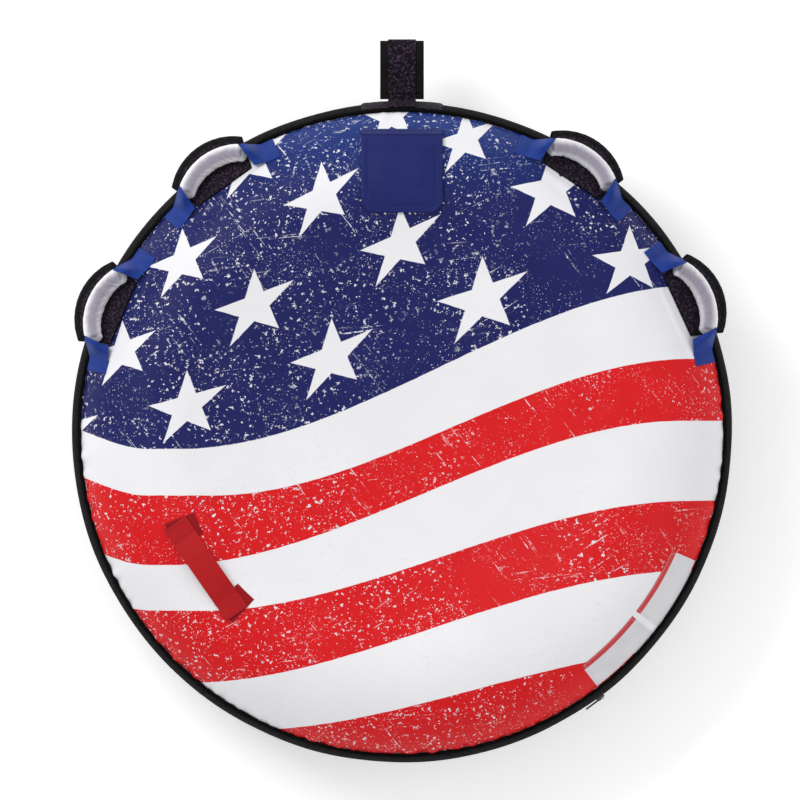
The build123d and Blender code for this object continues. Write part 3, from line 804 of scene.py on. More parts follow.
def grip(side, az, seed, material, thread):
    """The foam grip: a bent tube in stretch cloth, wrinkled inside its bend, with a sewn seam."""
    body = f"handle_{side}"
    rows, columns = 150, 64
    s = np.linspace(-1, 1, rows)
    angle = s * GRIP_TURN
    place, out, _ = grip_frame(angle)
    t = circle(columns)
    T = np.repeat(t[None], rows, 0)
    S = np.repeat(s[:, None], columns, 1)
    end = (1 - np.abs(s)) * GRIP_TURN * GRIP_BEND
    round_end = np.sqrt(np.clip(1 - (1 - np.clip(end / 5.0, 0, 1)) ** 2, 0, 1))
    radius = GRIP_R * (0.955 + 0.035 * np.cos(s * math.pi)) - 5.0 * (1 - round_end)
    R = np.repeat(radius[:, None], columns, 1)
    inner = smooth(-np.cos(T), 0.0, 1.0)
    r = np.random.default_rng(seed)
    for _ in range(15):
        where, width, turn = r.uniform(-0.85, 0.85), r.uniform(0.012, 0.03), r.uniform(-0.25, 0.25)
        depth = r.uniform(0.35, 1.0)
        spread = smooth(np.cos(T - math.pi - r.uniform(-0.9, 0.9)), 0.1, 1.0)
        R -= depth * bell(S - where - turn * 0.12 * np.sin(T), width) * spread
    R += 0.35 * ripple(S * 9 + np.sin(T) * 2, seed + 1, low=1, high=5) * (0.4 + inner)
    R += 0.22 * np.sin(3 * T + 4 * S + seed)
    seam = 0.75 * bell(np.angle(np.exp(1j * (T + 1.75))), 0.07)
    R = np.minimum(R - seam, 17.2)
    for turn_end in (-1, 1):
        R -= 0.7 * bell(S - turn_end * 0.93, 0.008)
    loops = place[:, None] + out[:, None] * (R * np.cos(T))[..., None]
    loops = loops + np.array([0, 0, 1.0]) * (R * np.sin(T))[..., None]
    # The cloth map gives each point's direction round the section, which places the painted shade on the
    # grip's inner side.
    uv = np.stack([np.cos(T), np.sin(T)], -1).reshape(-1, 2)
    piece = tube_grid(f"grip_{side}", in_handle(az, loops), material, uv, flip=False)
    settle(piece, body, f"handle_grip_{side}")
    for turn_end in (-1, 1):
        a = turn_end * GRIP_TURN * 0.955
        centre, o, _ = grip_frame(a)
        ring = np.linspace(0, 2 * math.pi, 60)
        path = centre + np.outer(np.cos(ring), o) * 16.1 + np.outer(np.sin(ring), [0, 0, 1]) * 16.1
        up = np.outer(np.cos(ring), o) + np.outer(np.sin(ring), [0, 0, 1])
        hand = "near" if turn_end < 0 else "far"
        out = in_handle(az, up * 1e3) - in_handle(az, np.zeros(3))
        stitches(f"grip_stitch_{side}_{hand}", in_handle(az, path), out, body, thread, 3.6, 2.4, 0.45)


def in_plan(az, sign, x, out, z):
    """Points at x mm along the handle, out mm from the tube's axis and z mm up."""
    a = math.radians(az)
    c, s = math.cos(a), math.sin(a)
    x = x * sign
    return np.stack([out * c + x * s, out * s - x * c, z + 0 * x], -1) * MM


def handle_webbing(side, az, material, thread):
    """The webbing at each end of a grip: folded over the foam's end, then flat down to its anchor."""
    rows, columns = 40, 34
    t, v = np.meshgrid(np.linspace(0, 1, rows), np.linspace(-1, 1, columns), indexing="ij")
    for sign, hand in ((-1, "near"), (1, "far")):
        el = ANCHOR_EL - 9.6 * v
        r = RING / MM + STRAP_DIST * cos_deg(el)
        turn = math.radians(9.7)
        far = (r * math.sin(turn), r * math.cos(turn), MID_Z / MM + STRAP_DIST * sin_deg(el))
        near_x, near_out = 65.5 - 1.0 * v, 572.0 + 24.5 * v
        arch = np.exp(-(((near_out - 580.0) / 15.0) ** 2))
        k = smooth(t, 0.0, 1.0)
        x, out = near_x + (far[0] - near_x) * t, near_out + (far[1] - near_out) * (0.8 * t + 0.2 * k)
        laid = smooth(t, 0.20, 0.97)
        top_z = (300.5 - 1.5 * v + 16.5 * arch) * (1 - laid) + far[2] * laid
        top_z = top_z + 0.5 * np.sin(v * 3.0 + t * 5.0) * np.sin(t * math.pi)
        low_z = (293.5 - 1.5 * v - 13.0 * arch) * (1 - laid) + (far[2] - 2.2) * laid
        top, low = in_plan(az, sign, x, out, top_z), in_plan(az, sign, x, out, low_z)
        for name, face, shift in (("top", top, -STRAP_THICK), ("low", low, STRAP_THICK)):
            if name == "low":
                face = face[:26]
            other = face + np.array([0, 0, shift * MM])
            upper, under = (other, face) if name == "low" else (face, other)
            if sign > 0:
                upper, under = upper[:, ::-1], under[:, ::-1]
            piece = shell(f"handle_web_{name}_{side}_{hand}", upper, under, material)
            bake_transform(piece)
            if sign < 0 and name == "top":
                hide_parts(f"handle_strap_{side}")
    for sign, hand in ((-1, "near"), (1, "far")):
        a0, a1 = az - sign * 9.6, az - sign * 12.0
        arc = np.linspace(a0, a1, 14)
        path = ring_point(TUBE + 0.0013, ANCHOR_EL, arc)
        section = band_section(0.0572, 0.0022, 15)
        el = ANCHOR_EL + np.degrees(section[:, 0] / TUBE)
        loops = [ring_point(TUBE + 0.0013 + section[:, 1], el, turned) for turned in arc]
        uv = band_map(section, length_along(path))
        piece = tube_grid(f"handle_anchor_{side}_{hand}", np.array(loops), material, uv, flip=sign > 0)
        settle(piece, "tube", f"handle_anchors_{side}" if sign < 0 else None)
        for k, where in enumerate((0.28, 0.5, 0.82)):
            a = a0 + (a1 - a0) * where
            el = np.linspace(ANCHOR_EL - 8.6, ANCHOR_EL + 8.6, 22)
            sewn(f"anchor_stitch_{side}_{hand}_{k}", TUBE + 0.0026, el, a, thread, 3.4, 2.5, 0.5)


def guard(side, az, seed, material, binding, thread):
    """The padded guard behind a grip: crowned, sewn along its bound edge, with quilting lines."""
    # mm outwards to the straight inner edge, the wings and the tip, and half the width at the first two
    inner, wing, tip, inner_half, wing_half = 546.8, 603.0, 635.2, 59.2, 78.2
    sagitta = tip - wing
    arc_r = (wing_half**2 + sagitta**2) / (2 * sagitta)
    start = math.asin(wing_half / arc_r)
    if sagitta > arc_r:
        start = math.pi - start
    turn = np.linspace(-start, start, 90)
    outer = np.stack([tip - arc_r + arc_r * np.cos(turn), arc_r * np.sin(turn)], 1)
    left = np.stack([np.linspace(inner, wing, 34), -np.linspace(inner_half, wing_half, 34)], 1)[1:-1]
    right = left[::-1] * [1, -1]
    base = np.stack([np.full(64, inner), np.linspace(inner_half, -inner_half, 64)], 1)
    outline = np.vstack([outer, right, base, left])
    centre = np.array([585.0, 0.0])
    rings = 34
    q = np.linspace(0, 1, rings)
    el = math.radians(HANDLE_EL)
    plan = centre + (outline - centre)[None] * q[:, None, None]
    to_edge = np.linalg.norm(plan.reshape(-1, 1, 2) - outline[None, ::2], axis=2)
    away = np.min(to_edge, axis=1).reshape(plan.shape[:2])
    r = np.random.default_rng(seed)
    crown = 2.5 + 3.4 * np.sqrt(np.clip(away / 13.0, 0, 1))
    for line in (-27.0, 0.0, 27.0):
        crown -= 1.5 * bell(plan[..., 1] - line * (1 + (plan[..., 0] - 560) / 330), 2.2) * smooth(away, 4, 12)
    angle = np.arctan2(plan[..., 1], plan[..., 0] - centre[0])
    crown += 0.5 * np.sin(angle * 23 + r.uniform(0, 6)) * bell(away - 6, 5)
    slack = ripple(plan[..., 0] * 0.09 + plan[..., 1] * 0.05, seed, low=1, high=4)
    crown += 0.35 * slack * smooth(away, 2, 9)
    crown = np.clip(crown, 2.3, 6.2)

    def on_cone(p, height):
        """The plan point p (outwards, sideways) at that height in mm over the guard's cone."""
        dist = np.hypot(p[..., 0], p[..., 1])
        slope = (dist - (RING + TUBE * math.cos(el)) / MM) / math.sin(el)
        z = (MID_Z + TUBE * math.sin(el)) / MM - slope * math.cos(el)
        a = np.arctan2(p[..., 1], p[..., 0]) + math.radians(az)
        lift_r, lift_z = height * math.cos(el), height * math.sin(el)
        return np.stack([(dist + lift_r) * np.cos(a), (dist + lift_r) * np.sin(a), z + lift_z], -1) * MM

    shift = np.array([-0.9 * math.cos(el), 0.0])
    top = on_cone(plan + shift, crown + 0.2)
    under = on_cone(plan + shift, np.full_like(crown, 0.55))
    count, columns = rings * len(outline), len(outline)
    faces = [list(f) for f in grid_faces(rings, columns, wrap_columns=True) if min(f) >= columns]
    points = np.vstack([top.reshape(-1, 3), under.reshape(-1, 3)])
    faces += centre_fan(columns)
    under_faces = [[i + count for i in f][::-1] for f in faces]
    rim = (rings - 1) * columns
    ahead = [(j + 1) % columns for j in range(columns)]
    wall = [[rim + j + count, rim + k + count, rim + k, rim + j] for j, k in enumerate(ahead)]
    points, faces, used = only_used(points, faces + under_faces + wall)
    taped = smooth(away, 14.0, 11.5) * smooth(plan[..., 0], 572.0, 592.0)
    cloth_map = np.tile(np.stack([taped, 0 * taped], -1).reshape(-1, 2), (2, 1))[used]
    piece = made(f"knuckle_pad_{side}", points, faces, material, cloth_map)
    settle(piece, "tube", f"knuckle_guard_{side}")
    level = np.ones(len(outline))
    edge_up = unit(on_cone(outline, level * 9.0) - on_cone(outline, level))
    inward = centre + (outline - centre) * 0.985
    path = on_cone(inward + shift, np.full(len(outline), 1.95))
    tangent = unit(np.roll(path, -1, 0) - np.roll(path, 1, 0))
    across = unit(np.cross(edge_up, tangent))
    t = circle(10)
    loops = path[:, None] + across[:, None] * (np.cos(t) * 1.35 * MM)[None, :, None]
    loops = loops + edge_up[:, None] * (np.sin(t) * 1.5 * MM)[None, :, None]
    bound = tube_grid(f"knuckle_binding_{side}", loops, binding, closed=True, flip=True)
    settle(bound, "tube")
    ring = centre + (outline - centre) * 0.915
    closed = np.vstack([ring, ring[:1]])
    sewn = on_cone(closed + shift, np.full(len(closed), 4.75))
    stitches(f"knuckle_stitch_{side}", sewn, np.vstack([edge_up, edge_up[:1]]), "tube", thread,
             pitch=4.4, length=3.0, thick=0.5)


# ---- tow point


def tow_pieces(web, lining, pad, thread):
    """The nose patch, the harness sewn to it and the loop that a rope hooks into."""
    nose = patch_shell("nose_pad", ON_COVER, 173.0, (-23.8, 23.8), (NOSE - 7.1, NOSE + 7.1), pad,
                       steps=(70, 70), edge=2.4, wander=0.25)
    settle(nose, "tube", "nose_patch")
    for k, inset in enumerate((0.55, 1.0)):
        e, a = 23.8 - inset * 1.6, 7.1 - inset * 0.9
        el = np.concatenate([np.linspace(-e, e, 60), np.full(40, e), np.linspace(e, -e, 60), np.full(40, -e)])
        az = np.concatenate([np.full(60, -a), np.linspace(-a, a, 40), np.full(60, a), np.linspace(a, -a, 40)])
        el, az = np.append(el, el[0]), np.append(az, az[0])
        az = NOSE + az
        sewn(f"nose_stitch_{k}", TUBE + 0.00305, el, az, thread, 4.4, 3.1)
    spans = {"upper": (173.25, 175.2, -23.4, 23.4, (16.5, -16.5)),
             "lower": (ON_COVER, 172.3, -61.8, -29.6, (-36.0, -54.0))}
    for part, (low, high, e0, e1, boxes) in spans.items():
        el = np.linspace(e0, e1, 60)
        middle = (low + high) / 2 * MM
        path = np.stack([np.zeros(60), RING + middle * cos_deg(el), MID_Z + middle * sin_deg(el)], 1)
        up = ring_normal(el, NOSE)
        across = repeated((1, 0, 0), 60)
        section = band_section(WEB_WIDE, (high - low) * MM, 13)
        sag = -(section[:, 0] ** 2) / (2 * 0.6)
        loops = path[:, None] + across[:, None] * section[None, :, :1] + up[:, None] * section[None, :, 1:]
        loops[..., 1] += sag[None] * cos_deg(el)[:, None]
        uv = band_map(section, middle * np.radians(el - e0))
        band = tube_grid(f"tow_harness_{part}", loops, web, uv, flip=False)
        settle(band, "tube")
        if part == "upper":
            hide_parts("tow_harness")
        for hand, centre_el in zip("ab", boxes):
            pts = stitched_box(-0.0195, 0.0195, -5.4, 5.4)
            e = centre_el + pts[:, 1]
            out = high * MM + 0.0001
            r = RING + (out - pts[:, 0] ** 2 / 1.2) * cos_deg(e)
            where = np.stack([pts[:, 0], r, MID_Z + out * sin_deg(e)], 1)
            stitches(f"tow_box_stitch_{part}_{hand}", where, ring_normal(e, NOSE), "tube", thread, 3.6, 2.6)

    def loop_path(grow, steps=40):
        """The loop's centreline in (y, z) about its middle plane, from the root round the eye and back."""
        throat, shoulder, end_y = 0.645, 0.674, 0.703
        r = 0.008 + grow
        marks = [0.6162, throat, (throat + shoulder) / 2, shoulder, end_y]
        y = np.interp(np.linspace(0, 1, steps), np.linspace(0, 1, len(marks)), marks)
        z = grow + (r - grow) * smooth(y, throat - 0.004, shoulder + 0.006)
        turn = np.linspace(math.pi / 2, -math.pi / 2, 24)[1:-1]
        nose_y, nose_z = end_y + r * np.cos(turn), r * np.sin(turn)
        return np.concatenate([y, nose_y, y[::-1]]), np.concatenate([z, nose_z, -z[::-1]])

    for name, grow, width, thick, material, node, slot in (
        ("tow_loop_lining", 0.0008, LINER_WIDE, 0.0014, lining, "tow_liner", "pad_black"),
        ("tow_loop_web", 0.0029, WEB_WIDE, 0.0022, web, "tow_webbing", "web_black"),
    ):
        y, z = loop_path(grow)
        path = np.stack([np.zeros_like(y), y, MID_Z + z], 1)
        tangent = unit(np.gradient(path, axis=0))
        across = repeated((1, 0, 0), len(y))
        up = unit(np.cross(across, tangent))
        band = webbing(name, path, across, up, width, thick, material)
        settle(band, "tow_loop", node)
    for face in (1, -1):
        cross = [(-0.020, 0.620), (0.020, 0.620), (-0.020, 0.642), (0.020, 0.642), (-0.020, 0.620)]
        pts = np.vstack([np.linspace(a, b, 14)[:-1] for a, b in zip(cross, cross[1:])])
        where = np.stack([pts[:, 0], pts[:, 1], np.full(len(pts), MID_Z + face * 0.0041)], 1)
        hand = "top" if face > 0 else "under"
        stitches(f"tow_loop_stitch_{hand}", where, repeated((0, 0, face), len(pts)), "tow_loop", thread,
                 pitch=3.6, length=2.6)
    for name, rows, near, far, width, thick, material, slot in (
        ("tow_root_fold", 16, 0.6035, 0.6195, 0.0500, 0.0056, web, "web_black"),
        ("tow_root_lining", 12, 0.6058, 0.6190, LINER_WIDE, 0.0016, lining, "pad_black"),
    ):
        path = np.stack([np.zeros(rows), np.linspace(near, far, rows), np.full(rows, MID_Z)], 1)
        across, up = repeated((1, 0, 0), rows), repeated((0, 0, 1), rows)
        piece = webbing(name, path, across, up, width, thick, material)
        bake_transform(piece)
        if name == "tow_root_fold":
            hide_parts("tow_root")


# ---- valve flap, zip, strap, labels


def plan_on_crown(x, y, dist):
    """Points of the nose's upper side over plan places x, y, at a distance from the ring's centre circle."""
    r = np.hypot(x, y)
    return np.stack([x, y, MID_Z + np.sqrt(np.clip(dist**2 - (r - RING) ** 2, 0, None))], -1)


def crown_normal(x, y):
    """The direction away from the tube at plan places x, y."""
    r = np.hypot(x, y)
    c = (r - RING) / TUBE
    s = np.sqrt(np.clip(1 - c**2, 0, 1))
    return np.stack([c * x / r, c * y / r, s], -1)


def flap_plan(rows=60, columns=64):
    """A grid over the flap's outline, its rear corners rounded."""
    y = FLAP_REAR + (FLAP_FRONT - FLAP_REAR) * np.linspace(0, 1, rows) ** 1.35
    from_rear = np.clip(FLAP_CORNER - (y - FLAP_REAR), 0, FLAP_CORNER)
    wide = FLAP_HALF - FLAP_CORNER + np.sqrt(np.clip(FLAP_CORNER**2 - from_rear**2, 0, None))
    u = np.linspace(-1, 1, columns)
    return wide[:, None] * u[None], np.repeat(y[:, None], columns, 1), np.abs(u)[None] + 0 * y[:, None]


def rear_corners(half, rear, corner, count):
    """Two rounded corners at the flap's rear, the left one and the right one, as (x, y)."""
    t = np.linspace(math.pi, 1.5 * math.pi, count)
    left = np.stack([-half + corner + corner * np.cos(t), rear + corner + corner * np.sin(t)], 1)
    return left, left[::-1] * [-1, 1]


def valve_cover(material, binding, hook, loop_cloth, thread):
    """The flap over the valve, its hem and fastening tapes, and the bound hole under it."""
    x, y, u = flap_plan()
    edge = np.minimum((1 - u) * FLAP_HALF, np.minimum(y - FLAP_REAR, FLAP_FRONT - y + 0.004))
    lift = 1.7 * smooth(edge, 0.0, 0.0025) + 1.2 * smooth(edge, 0.008, 0.045)
    lift -= 0.9 * bell(edge - 0.0115, 0.0016)
    lift += 0.55 * np.sin(x * 55 + y * 30) * np.sin(y * 48 - x * 21 + 1) * smooth(edge, 0.008, 0.03)
    lift -= 0.8 * bell(y - 0.441 + 0.10 * x - 1.2 * x**2, 0.0035) * smooth(edge, 0.004, 0.02)
    lift = np.clip(lift, 0.2, 3.6)
    normal = crown_normal(x, y)
    base = plan_on_crown(x, y, 0.1762)
    flap = shell("valve_flap_cloth", base + normal * lift[..., None] * MM, base, material)
    settle(flap, "flap", "valve_flap")
    for k, inset in enumerate((0.0035, 0.0135)):
        half, rear, front, corner = FLAP_HALF - inset, FLAP_REAR + inset, 0.5325, FLAP_CORNER - inset
        left, right = rear_corners(half, rear, corner, 16)
        line = np.vstack([[[-half, front]], left, right, [[half, front]]])
        fine = np.vstack([np.linspace(a, b, 8)[:-1] for a, b in zip(line, line[1:])])
        where = plan_on_crown(fine[:, 0], fine[:, 1], 0.1782 + (0.0001 if k == 0 else 0.0004))
        stitches(f"flap_stitch_{k}", where, crown_normal(fine[:, 0], fine[:, 1]), "flap", thread, 3.8, 2.7)

    def border(name, low, high, mat, body, node, fuzzy):
        """A band of hook or loop tape along the flap's sides and rear."""
        lines = []
        for half, rear, c in ((0.0715, 0.399, 0.023), (0.0585, 0.412, 0.011)):
            left, right = rear_corners(half, rear, c, 14)
            side_l = np.stack([np.full(24, -half), np.linspace(0.524, rear + c, 24)], 1)[:-1]
            mid = np.stack([np.linspace(-half + c, half - c, 26)[1:-1], np.full(24, rear)], 1)
            side_r = np.stack([np.full(24, half), np.linspace(rear + c, 0.524, 24)], 1)[1:]
            lines.append(np.vstack([side_l, left, mid, right, side_r]))
        outer, inner = lines
        v = np.linspace(0, 1, 9)[:, None, None]
        plan = outer[None] * (1 - v) + inner[None] * v
        tufts = np.sin(np.arange(plan.shape[1]) * 2.1)[None] * np.sin(np.arange(9) * 2.4)[:, None]
        pile = 0.14 * tufts * fuzzy
        x, y = plan[..., 0], plan[..., 1]
        band = shell(name, plan_on_crown(x, y, (high + pile) * MM), plan_on_crown(x, y, low * MM), mat)
        settle(band, body, node)

    border("flap_hook_tape", 173.6, 175.9, hook, "flap", "flap_hook_strip", 0.5)
    border("flap_loop_tape", 170.2, 172.6, loop_cloth, "tube", "flap_loop_strip", 1.0)
    u = np.linspace(-1, 1, 60)
    back = np.linspace(0, 1, 12)
    X, Y = np.meshgrid(u * FLAP_HALF, 0.5395 + back * 0.009)
    roll = 0.6 + 4.1 * np.sqrt(np.clip(1 - np.repeat(back[:, None], 60, 1) ** 1.5, 0, 1))
    top = plan_on_crown(X, Y, 0.1702) + crown_normal(X, Y) * roll[..., None] * MM
    hem = shell("flap_hem_roll", top, plan_on_crown(X, Y, 0.1701), material)
    settle(hem, "tube", "flap_hem")
    bridge_y = np.linspace(0.5335, 0.5425, 14)
    X, Y = np.meshgrid(u * 0.0725, bridge_y)
    up = 5.6 + 2.2 * smooth(Y, 0.5425, 0.5335) - 1.4 * smooth(Y, 0.537, 0.5425)
    top = plan_on_crown(X, Y, 0.1702) + crown_normal(X, Y) * up[..., None] * MM
    under = top - crown_normal(X, Y) * 0.0011
    bridge = shell("flap_fold", top, under, material)
    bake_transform(bridge)
    x, y = u * 0.071, np.full(60, 0.5462)
    stitches("hem_stitch", plan_on_crown(x, y, 0.1736), crown_normal(x, y), "tube", thread, 3.8, 2.7)
    origin, ax, ay, az_ = valve_axes()
    t = circle(120)
    near = bell(np.angle(np.exp(1j * t)), 0.26)
    reach = 0.0285 + 0.0016 * near
    path = origin + np.outer(np.cos(t) * reach, ax) + np.outer(np.sin(t) * reach, ay)
    drop = TUBE - np.sqrt(TUBE**2 - (np.sin(t) * 0.0285) ** 2) + (np.cos(t) * 0.0285) ** 2 / 0.9
    path = path - np.outer(drop, az_) + np.outer(0.0008 - 0.0017 * near, az_)
    c = circle(10)
    radial = np.outer(np.cos(t), ax) + np.outer(np.sin(t), ay)
    loops = path[:, None] + radial[:, None] * (np.cos(c) * 0.0019)[None, :, None]
    loops = loops + az_ * (np.sin(c) * 0.0010)[None, :, None]
    ring = tube_grid("valve_hole_binding", loops, binding, closed=True, flip=True)
    settle(ring, "tube")


def zip_pieces(tape, tooth, thread, tab):
    """The rear zip's two tapes, its teeth and the patches at its ends."""
    low, high = REAR - ZIP_HALF_AZ, REAR + ZIP_HALF_AZ
    for side, name in ((1, "upper"), (-1, "lower")):
        near, far = ZIP_EL + side * 0.85, ZIP_EL + side * 5.45
        piece = patch_shell(f"zip_tape_cloth_{name}", ON_COVER, 171.05, (min(near, far), max(near, far)),
                            (low - 1.4, high + 1.4), tape, (12, 240), 0.6, wander=0.1, seed=side + 9)
        settle(piece, "tube", f"zip_tape_{name}")
        az = np.linspace(low - 1, high + 1, 400)
        el = ZIP_EL + side * 4.7
        sewn(f"zip_stitch_{name}", TUBE + 0.00115, el, az, thread, 4.2, 3.0)
    az = np.arange(low + 0.7, high - 0.7, 0.225)
    points, faces = [], []
    t = circle(8)
    tooth_rings = ((-0.25, 0.42, 0.5), (0.1, 0.52, 0.85), (0.55, 0.5, 1.0), (0.85, 0.34, 0.8),
                   (1.0, 0.16, 0.45))
    for a in az:
        for side in (1, -1):
            middle = a + 0.056 * side
            first = len(points)
            for place, wide, tall in tooth_rings:
                el = ZIP_EL + side * (1.0 - place) * 0.62
                centre = ring_point(0.1721, el, middle)
                n = ring_normal(el, middle)
                tang = np.array([-math.sin(math.radians(middle)), math.cos(math.radians(middle)), 0])
                for c, s in zip(np.cos(t), np.sin(t)):
                    points.append(centre + tang * c * wide * 0.75 * MM + n * s * tall * 1.25 * MM)
            faces += [f[::side] for f in bar_faces(first, 4, 8)]
    teeth = made("zip_teeth", points, faces, tooth)
    settle(teeth, "tube", "zip_coil")
    for k, (a0, a1) in enumerate(((low - 4.0, low - 1.6), (high + 1.6, high + 4.0))):
        piece = patch_shell(f"zip_end_patch_{k}", ON_COVER, 171.45, (ZIP_EL - 5.5, ZIP_EL + 5.5), (a0, a1),
                            tab, steps=(30, 24), edge=0.9)
        settle(piece, "tube", "zip_end_tabs" if k == 0 else None)


def boarding(material, patch_material, thread):
    """The bowed strap on the deck and its two sewn patches."""
    half, sewn, base, rise = 0.099, 0.065, 0.0016, 0.015
    a = math.radians(BOARD_AZ)
    origin = np.array([RING * math.cos(a), RING * math.sin(a), MID_Z + TUBE])
    x = np.array([math.sin(a), -math.cos(a), 0.0])
    y = np.array([math.cos(a), math.sin(a), 0.0])
    s = np.linspace(-half, half, 90)
    bow_r = (sewn**2 + rise**2) / (2 * rise)
    inside = np.clip(np.abs(s), 0, sewn)
    z = base + 0.0011 + rise - (bow_r - np.sqrt(bow_r**2 - inside**2))
    z = z + 0.0002 * np.sin(s * 260)
    path = origin + s[:, None] * x + np.outer(z, [0, 0, 1])
    tangent = unit(np.gradient(path, axis=0))
    across = repeated(-y, 90)
    up = unit(np.cross(tangent, across))
    band = webbing("boarding_strap_web", path, across, up, 0.0465, 0.0021, material)
    settle(band, "tube", "boarding_strap")
    half_az = math.degrees(math.atan2(0.105, RING))
    depth = math.degrees(math.atan2(0.044, RING))
    half_el = math.degrees(0.0285 / TUBE)
    for k, (a0, a1) in enumerate(((-half_az, -half_az + depth), (half_az - depth, half_az))):
        piece = patch_shell(f"boarding_patch_{k}", ON_COVER, 171.35, (90 - half_el, 90 + half_el),
                            (BOARD_AZ + a0, BOARD_AZ + a1), patch_material, steps=(40, 34), edge=0.8)
        settle(piece, "tube", "boarding_patches" if k == 0 else None)
    for k, sign in enumerate((-1, 1)):
        pts = stitched_box(sign * 0.070, sign * 0.095, -0.0185, 0.0185)
        top = base + 0.0022 + 0.0001
        where = origin + pts[:, :1] * x + pts[:, 1:] * y + np.array([0, 0, top])
        stitches(f"boarding_stitch_{k}", where, repeated((0, 0, 1), len(where)), "tube", thread, 3.6, 2.6)


def label_material():
    """A blank woven label: pale cloth with a plain coloured header bar along its upper edge."""
    m, g, shader = new_material("label_cloth")
    at = g.place()
    header = g.step(g.split(at)[2], 0.2975, 0.2979)
    pale = g.mix(g.noise(at, 30.0, 3.0), shade((205, 204, 208)), shade((222, 221, 224)))
    tint = g.mix(header, pale, shade((196, 40, 46)))
    weave = g.wave(at, 0.9, "DIAGONAL", 0.3)
    tint = g.mix(g.times(weave, 0.08), tint, shade((120, 120, 130)))
    finish(g, shader, tint, g.noise(at, 240.0), (0.5, 0.66), g.bump(weave, 0.1 * MM, 0.7), spread=(0.3, 0.7))
    return m


def labels(material, thread):
    """Two blank panels sewn on the deck's shoulder."""
    for k, (a0, a1) in enumerate(((-52.4, -38.5), (-37.3, -23.6))):
        piece = patch_shell(f"label_{k}", 170.1, 170.58, (28.7, 53.4), (a0, a1), material, (60, 60), 0.3)
        settle(piece, "tube", "label_panels" if k == 0 else None)
        e0, e1, b0, b1 = 29.3, 52.8, a0 + 0.5, a1 - 0.5
        up, along = np.linspace(e0, e1, 40), np.linspace(b0, b1, 50)
        el = np.concatenate([np.full(50, e0), up, np.full(50, e1), up[::-1]])
        az = np.concatenate([along, np.full(40, b1), along[::-1], np.full(40, b0)])
        sewn(f"label_stitch_{k}", TUBE + 0.00062, el, az, thread, 3.6, 2.4, 0.4)


# ---- making it all


